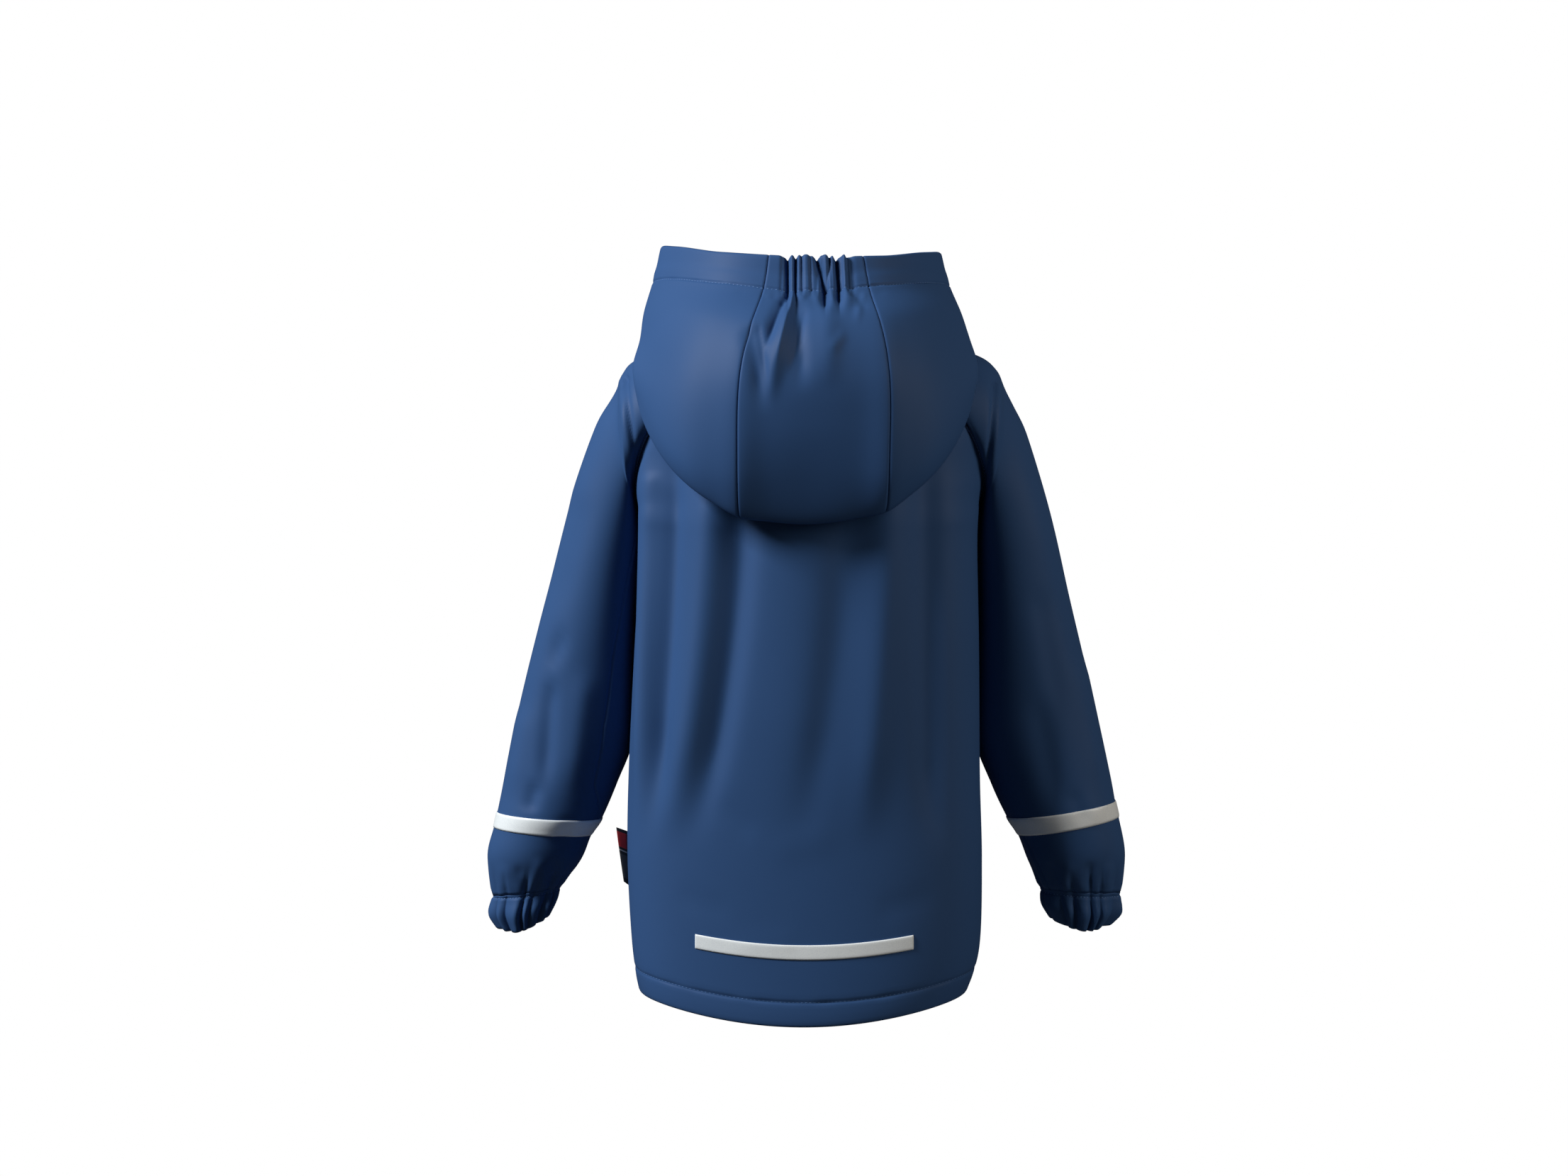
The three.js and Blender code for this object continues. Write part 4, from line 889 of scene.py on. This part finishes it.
def makeCuff(side):
    rows = [dict(row, place=k) for k, row in enumerate(cuffRows[side])]

    def cuffPoint(turn, place):
        row = tableAt(rows, "place", place)
        height = 1.45 * row["fold"] * gatherWave(side, turn)
        height += 0.9 * bell(place - 1.7, 0.8) - 0.9 * bell(place - cuff["stitchAt"], 0.16)
        height -= 0.8 * smooth((place - 2.85) / 0.15)
        long = math.hypot(row["outerX"] - row["innerX"], row["outerZ"] - row["innerZ"])
        swell = dict(row, depth=row["depth"] + height)
        for end, sign in (("outer", 1), ("inner", -1)):
            for axis in "XZ":
                swell[end + axis] += sign * (row["outer" + axis] - row["inner" + axis]) * height / long
        point = ringPoint(swell, turn)
        return point if side == "left" else Vector((-point.x, point.y, point.z))

    turns = [k / cuff["around"] for k in range(cuff["around"])]
    places = [3 * k / cuff["down"] for k in range(cuff["down"] + 1)]
    points = gridOf(places, lambda p: turns, cuffPoint)
    return points, facingsOf(points, True, sleeveFlip(side))


for side in ("left", "right"):
    cuffPoints, cuffFacings = makeCuff(side)
    cuffCloth = addCloth("cuff_cloth_" + side, cuffPoints, cuffFacings, closed=True, thickness=1.8,
                         materials=(coating, coating), node="cuff_" + side)
    stitchRow = round(cuff["stitchAt"] / 3 * cuff["down"])
    addStitches("cuff_stitches_" + side, [(cuffPoints[stitchRow], cuffFacings[stitchRow])],
                "cuff_cloth_" + side, pitch=3.0)
    noteCut(cuffPoints, closed=True)


# Hood

hood = {"down": 120, "sideCells": 52, "middleCells": 150, "seamLift": 1.6, "casingGroove": 1.2,
        "casingPuff": 0.7, "cornerLift": 1.6, "cornerOut": 1.2}
gathers = [dict(zip(("rimX", "footX", "width", "height"), row)) for row in (
    (14, 13.5, 2.8, -4.2), (10.5, 10.6, 2.2, 2), (7.5, 7.5, 2.2, -2.6), (-1, -1.5, 6, 2),
    (-9.5, -15.5, 2.8, -3.8), (-16, -20, 2.6, 2), (-25.5, -27, 2.6, -3.8), (-31, -32, 3, 2),
    (-36, -38, 2.6, -1.4),
)]
finePleats = [dict(zip(("rimX", "footX", "width", "height"), row)) for row in (
    (2.5, 2, 1.3, -1.6), (-4, -5, 1.4, -1.3), (-12.5, -11, 1.2, 1.1), (-19.5, -17.5, 1.4, -2),
    (-22, -23, 1.3, 1.2),
    (-29, -30, 1.1, -1.2), (-33.5, -34.5, 1.4, -1.8), (5, 5.5, 1.2, 1.0), (18, 19, 1.6, -0.9),
)]
gatherSet = {"end": 1.9, "rise": 0.35, "sharp": 1.5}
hoodFolds = [dict(zip(foldColumns, row)) for row in (
    (11, 16, 28, -70, 6.5, 4.4), (15, 12, 30, -30, 5, -3.4), (43, -20, 33, -78, 6.5, -3),
    (8, 0, 3, -62, 7, -3.6), (-17, 6, -18, -60, 9, 2.2), (-33, 16, -39, 2, 6, 2.6),
)]
# Puckers under the casing and the sharp edge of the main fold
hoodPuckers = [dict(zip(foldColumns, row)) for row in (
    (8, 17, 22, -44, 1.8, 1.3), (17, 6, 31, -34, 2.2, -1.5), (37, -18, 29, -62, 2.4, -1.2),
    (0, -4, 12, -52, 3, -1.1),
    (-40, 15, -46, -2, 4, -1.8), (-47, 14, -40, -12, 3, 1.1), (-20, -36, -31, -22, 4, 1),
    (-3, 14, -3, 6, 3.2, -1.6), (-16.5, 15, -17, -2, 4, -2.6),
    (-27, 14, -28, 6, 3.4, -1.8), (13.5, 15, 18, 2, 3, -1.8), (2, 14, 2, 4, 2.4, 0.8),
    (-9, 14, -9, 2, 2.6, 0.9),
    (-22, 14, -22, 3, 2.2, 0.8), (24, 14, 25, 7, 3, -0.7), (33, 14, 34, 8, 3, -0.5),
    (-45, 14, -46, 8, 3, -0.6),
    (-60, 18, -61, 12, 3, -0.4), (50, 17, 51, 11, 3, -0.4),
)]
seamRidge = {"height": 3.2, "width": 15}


def hoodRelief(points, sections):
    x, z = points[..., 0], points[..., 2]
    reach = np.array(sections)[:, None]
    fade = 1 - smoothAll((reach - 0.9) / (gatherSet["end"] - 0.9))
    pleats = np.zeros_like(x)
    for pleat in gathers:
        middle = pleat["rimX"] + (pleat["footX"] - pleat["rimX"]) * np.clip(reach, 0, 1)
        pleats += pleat["height"] * bellAll(x - middle, pleat["width"])
        if pleat["height"] < -2:
            pleats -= gatherSet["sharp"] * bellAll(x - middle, 0.9)
    for pleat in finePleats:
        middle = pleat["rimX"] + (pleat["footX"] - pleat["rimX"]) * np.clip(reach, 0, 1)
        pleats += pleat["height"] * bellAll(x - middle, pleat["width"]) * smoothAll((1.25 - reach) / 0.3)
    rows = [tableAt(middlePanel, "section", s) for s in sections]
    half = np.array([row["half"] for row in rows])[:, None]
    shift = np.array([row["shift"] for row in rows])[:, None]
    ridge = bellAll(x - shift - half, seamRidge["width"]) + bellAll(x - shift + half, seamRidge["width"])
    outer = 1 - smoothAll((reach - 6) / 1.2)
    folds = (foldsHeight(hoodFolds, x, z) + foldsHeight(hoodPuckers, x, z)) * smoothAll((reach - 0.9) / 0.5)
    return pleats * fade, outer * (folds + seamRidge["height"] * ridge * smoothAll((reach - 1.2) / 1.5))


hoodSections = sorted({0.04, 0.93, 0.965, 1, 1.035, 1.07} | {
    round(hoodEnd * k / hood["down"], 4) for k in range(hood["down"] + 1)} | {0.16, 0.42, 0.6, 1.2, 1.32})


def makeHoodPanel(start, end, cells, seamStart, seamEnd):
    shares = spread(cells, width=110, ends=(seamStart, seamEnd))
    points = gridOf(hoodSections, lambda s: [lerp(start(s), end(s), t) for t in shares],
                    lambda around, s: hoodPoint(around, s))
    facings = facingsOf(points, False, 1)
    left, right = runs(points, 1)
    down = runs(points, 0)[0]
    pleats, folds = hoodRelief(points, hoodSections)
    height = pleats + folds
    if seamStart:
        height -= body["seamDip"] * bellAll(left, body["seamWidth"])
    if seamEnd:
        height -= body["seamDip"] * bellAll(right, body["seamWidth"])
    casing = down - down[[hoodSections.index(1)]]
    pucker = 1 + 0.3 * np.sin(points[..., 0] / 2.1) * np.sin(points[..., 0] / 7.7)
    height -= hood["casingGroove"] * pucker * bellAll(casing, 0.9)
    height += hood["casingPuff"] * bellAll(casing + 8, 5)
    height -= body["edgeDip"] * bellAll(down, body["edgeWidth"])
    raised = points + facings * height[..., None]
    raised[..., 2] += gatherSet["rise"] * pleats * (1 - smoothAll(down / 9))
    around = np.array([[abs(lerp(start(s), end(s), t)) for t in shares] for s in hoodSections])
    corner = bellAll(around - hoodStations[2], 0.05) * (1 - smoothAll(np.array(hoodSections)[:, None] / 0.8))
    raised[..., 2] += hood["cornerLift"] * corner
    raised[..., 0] += hood["cornerOut"] * corner * np.sign(raised[..., 0])
    raised[-1, :, 2] += hood["seamLift"]
    return raised, facingsOf(raised, False, 1)


hoodPanels = {
    "right": (lambda s: -1, lambda s: seamAround(s, -1), hood["sideCells"], False, True),
    "middle": (lambda s: seamAround(s, -1), lambda s: seamAround(s, 1), hood["middleCells"], True, True),
    "left": (lambda s: seamAround(s, 1), lambda s: 1, hood["sideCells"], True, False),
}
casingRow = hoodSections.index(1)
for panel, (start, end, cells, seamStart, seamEnd) in hoodPanels.items():
    hoodPoints, hoodFacings = makeHoodPanel(start, end, cells, seamStart, seamEnd)
    hoodCloth = addCloth("hood_cloth_" + panel, hoodPoints, hoodFacings, materials=(coating, backing),
                         node="hood_" + panel)
    addStitches("hood_stitches_" + panel, [(hoodPoints[casingRow], hoodFacings[casingRow])],
                "hood_cloth_" + panel)
    noteCut(hoodPoints)


# Label, folded double and caught in the side seam

label = {"topLevel": 9.72, "footLevel": 10.35, "reach": 9.5, "footReach": 4.5, "back": 4, "rise": 4,
         "clear": 0.4, "gap": 0.7, "across": 24, "down": 40, "thickness": 0.35}


def makeLabel():
    def labelPoint(t, v):
        seam = bodyPoint("back", 1, lerp(label["topLevel"], label["footLevel"], v))
        reach = lerp(label["reach"], label["footReach"], v)
        out = math.sin(t * math.pi) ** 0.6
        leaf = label["gap"] * (0.5 - t) * 2 * min(1, 4 * (1 - out) + 0.4)
        curl = 0.5 * math.sin(v * math.pi * 1.6 + 0.5) * out
        return seam + Vector((label["clear"] + reach * out - 0.5 * leaf, label["back"] * out + leaf + curl,
                              label["rise"] * out))

    downList = [k / label["down"] for k in range(label["down"] + 1)]
    acrossList = [k / label["across"] for k in range(label["across"] + 1)]
    points = gridOf(downList, lambda v: acrossList, labelPoint)
    return points, facingsOf(points, False, -1)


labelPoints, labelFacings = makeLabel()
labelCloth = addCloth("label_cloth", labelPoints, labelFacings, thickness=label["thickness"],
                      materials=(labelFace,), node="label")
noteCut(labelPoints)


# Press studs: a domed cap with a ring round a dished middle

studLevels = (0.9, 4.6, 7.2, 8.3, 9.4, 10.7)
stud = {"lift": 2.6, "steps": 48, "profile": (
    (6, 0), (6.1, 0.3), (5.9, 0.8), (5.2, 1.35), (4.4, 1.65), (3.9, 1.6), (3.6, 1.3), (3.3, 1.25), (2.4, 1.6),
    (1.2, 1.85), (0, 1.9))}


def addStud(k, level):
    middle = acrossAt("front", 0, level)
    point = bodyPoint("front", middle, level)
    down = bodyPoint("front", middle, level + 0.02) - point
    beside = bodyPoint("front", middle + 0.01, level) - point
    facing = down.cross(beside).normalized()
    if facing.y > 0:
        facing.negate()
    bm = bmesh.new()
    verts = [bm.verts.new((radius * mm, 0, height * mm)) for radius, height in stud["profile"]]
    edges = [bm.edges.new(pair) for pair in zip(verts, verts[1:])]
    bmesh.ops.spin(bm, geom=verts + edges, cent=(0, 0, 0), axis=(0, 0, 1), angle=2 * math.pi,
                   steps=stud["steps"])
    bmesh.ops.remove_doubles(bm, verts=bm.verts, dist=1e-6)
    turn = Vector((0, 0, 1)).rotation_difference(facing).to_matrix().to_4x4()
    place = Matrix.Translation((point + facing * stud["lift"]) * mm)
    bmesh.ops.transform(bm, verts=bm.verts, matrix=place @ turn)
    bmesh.ops.recalc_face_normals(bm, faces=bm.faces)
    mesh = bpy.data.meshes.new("cap_%d" % k)
    bm.to_mesh(mesh)
    bm.free()
    for face in mesh.polygons:
        face.use_smooth = True
    mesh.materials.append(moulded)
    cap = bpy.data.objects.new("cap_%d" % k, mesh)
    bpy.context.scene.collection.objects.link(cap)
    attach(cap, "root")
    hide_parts("stud_%d" % k)


for k, level in enumerate(studLevels, 1):
    addStud(k, level)
print("studs made")


# Stage, light and camera

stageSet = {"floorZ": -1.35, "floorSize": 30.0, "backdrop": 1.0, "ambient": 0.035}
lightSet = [dict(zip(("name", "place", "size", "power", "colour"), row)) for row in (
    ("keyLeft", (1.98, 0.95, 1.36), (0.8, 0.9), 90, (1.0, 1.0, 1.0)),
    ("fillRight", (-1.8, 0.9, 0.62), (0.6, 1.3), 16, (1.0, 0.90, 0.79)),
)]
cameraSet = {"place": (0.0168, 1.8, -0.2217), "lens": 48.82}


def makeFloor():
    bm = bmesh.new()
    bmesh.ops.create_grid(bm, x_segments=8, y_segments=8, size=stageSet["floorSize"] / 2)
    bmesh.ops.translate(bm, verts=bm.verts, vec=(0, 0, stageSet["floorZ"]))
    mesh = bpy.data.meshes.new("floor")
    bm.to_mesh(mesh)
    bm.free()
    floor = bpy.data.objects.new("floor", mesh)
    bpy.context.scene.collection.objects.link(floor)
    material, nodes, links, shader = newMaterial("paleFloor")
    shader.inputs["Base Color"].default_value = (0.12, 0.12, 0.12, 1)
    shader.inputs["Roughness"].default_value = 0.9
    glow = addNode(nodes, "ShaderNodeEmission", Strength=1.0)
    path = nodes.new("ShaderNodeLightPath")
    mix = nodes.new("ShaderNodeMixShader")
    links.new(path.outputs["Is Camera Ray"], mix.inputs[0])
    links.new(shader.outputs[0], mix.inputs[1])
    links.new(glow.outputs[0], mix.inputs[2])
    links.new(mix.outputs[0], nodes["Material Output"].inputs["Surface"])
    mesh.materials.append(material)


def makeWorld():
    world = bpy.data.worlds.new("studio")
    bpy.context.scene.world = world
    world.use_nodes = True
    nodes, links = world.node_tree.nodes, world.node_tree.links
    nodes.clear()
    path = nodes.new("ShaderNodeLightPath")
    seen = addNode(nodes, "ShaderNodeBackground", Strength=stageSet["backdrop"])
    soft = addNode(nodes, "ShaderNodeBackground", Strength=stageSet["ambient"])
    mix = nodes.new("ShaderNodeMixShader")
    output = nodes.new("ShaderNodeOutputWorld")
    for node in (seen, soft):
        node.inputs["Color"].default_value = (1, 1, 1, 1)
    links.new(path.outputs["Is Camera Ray"], mix.inputs[0])
    links.new(soft.outputs[0], mix.inputs[1])
    links.new(seen.outputs[0], mix.inputs[2])
    links.new(mix.outputs[0], output.inputs["Surface"])


def makeLights():
    aim = Vector((0, 0, -0.25))
    for row in lightSet:
        data = bpy.data.lights.new(row["name"], "AREA")
        data.shape = "RECTANGLE"
        data.size, data.size_y = row["size"]
        data.energy = row["power"]
        data.color = row["colour"]
        lamp = bpy.data.objects.new(row["name"], data)
        lamp.location = row["place"]
        lamp.rotation_euler = (aim - lamp.location).to_track_quat("-Z", "Y").to_euler()
        bpy.context.scene.collection.objects.link(lamp)


def makeCamera():
    data = bpy.data.cameras.new("camera")
    data.lens = cameraSet["lens"]
    data.sensor_width = 36
    camera = bpy.data.objects.new("camera", data)
    camera.location = cameraSet["place"]
    camera.rotation_euler = (math.pi / 2, 0, math.pi)
    bpy.context.scene.collection.objects.link(camera)
    bpy.context.scene.camera = camera


makeFloor()
makeWorld()
makeLights()
makeCamera()
bpy.context.scene.view_settings.view_transform = "Standard"
print("stage made")
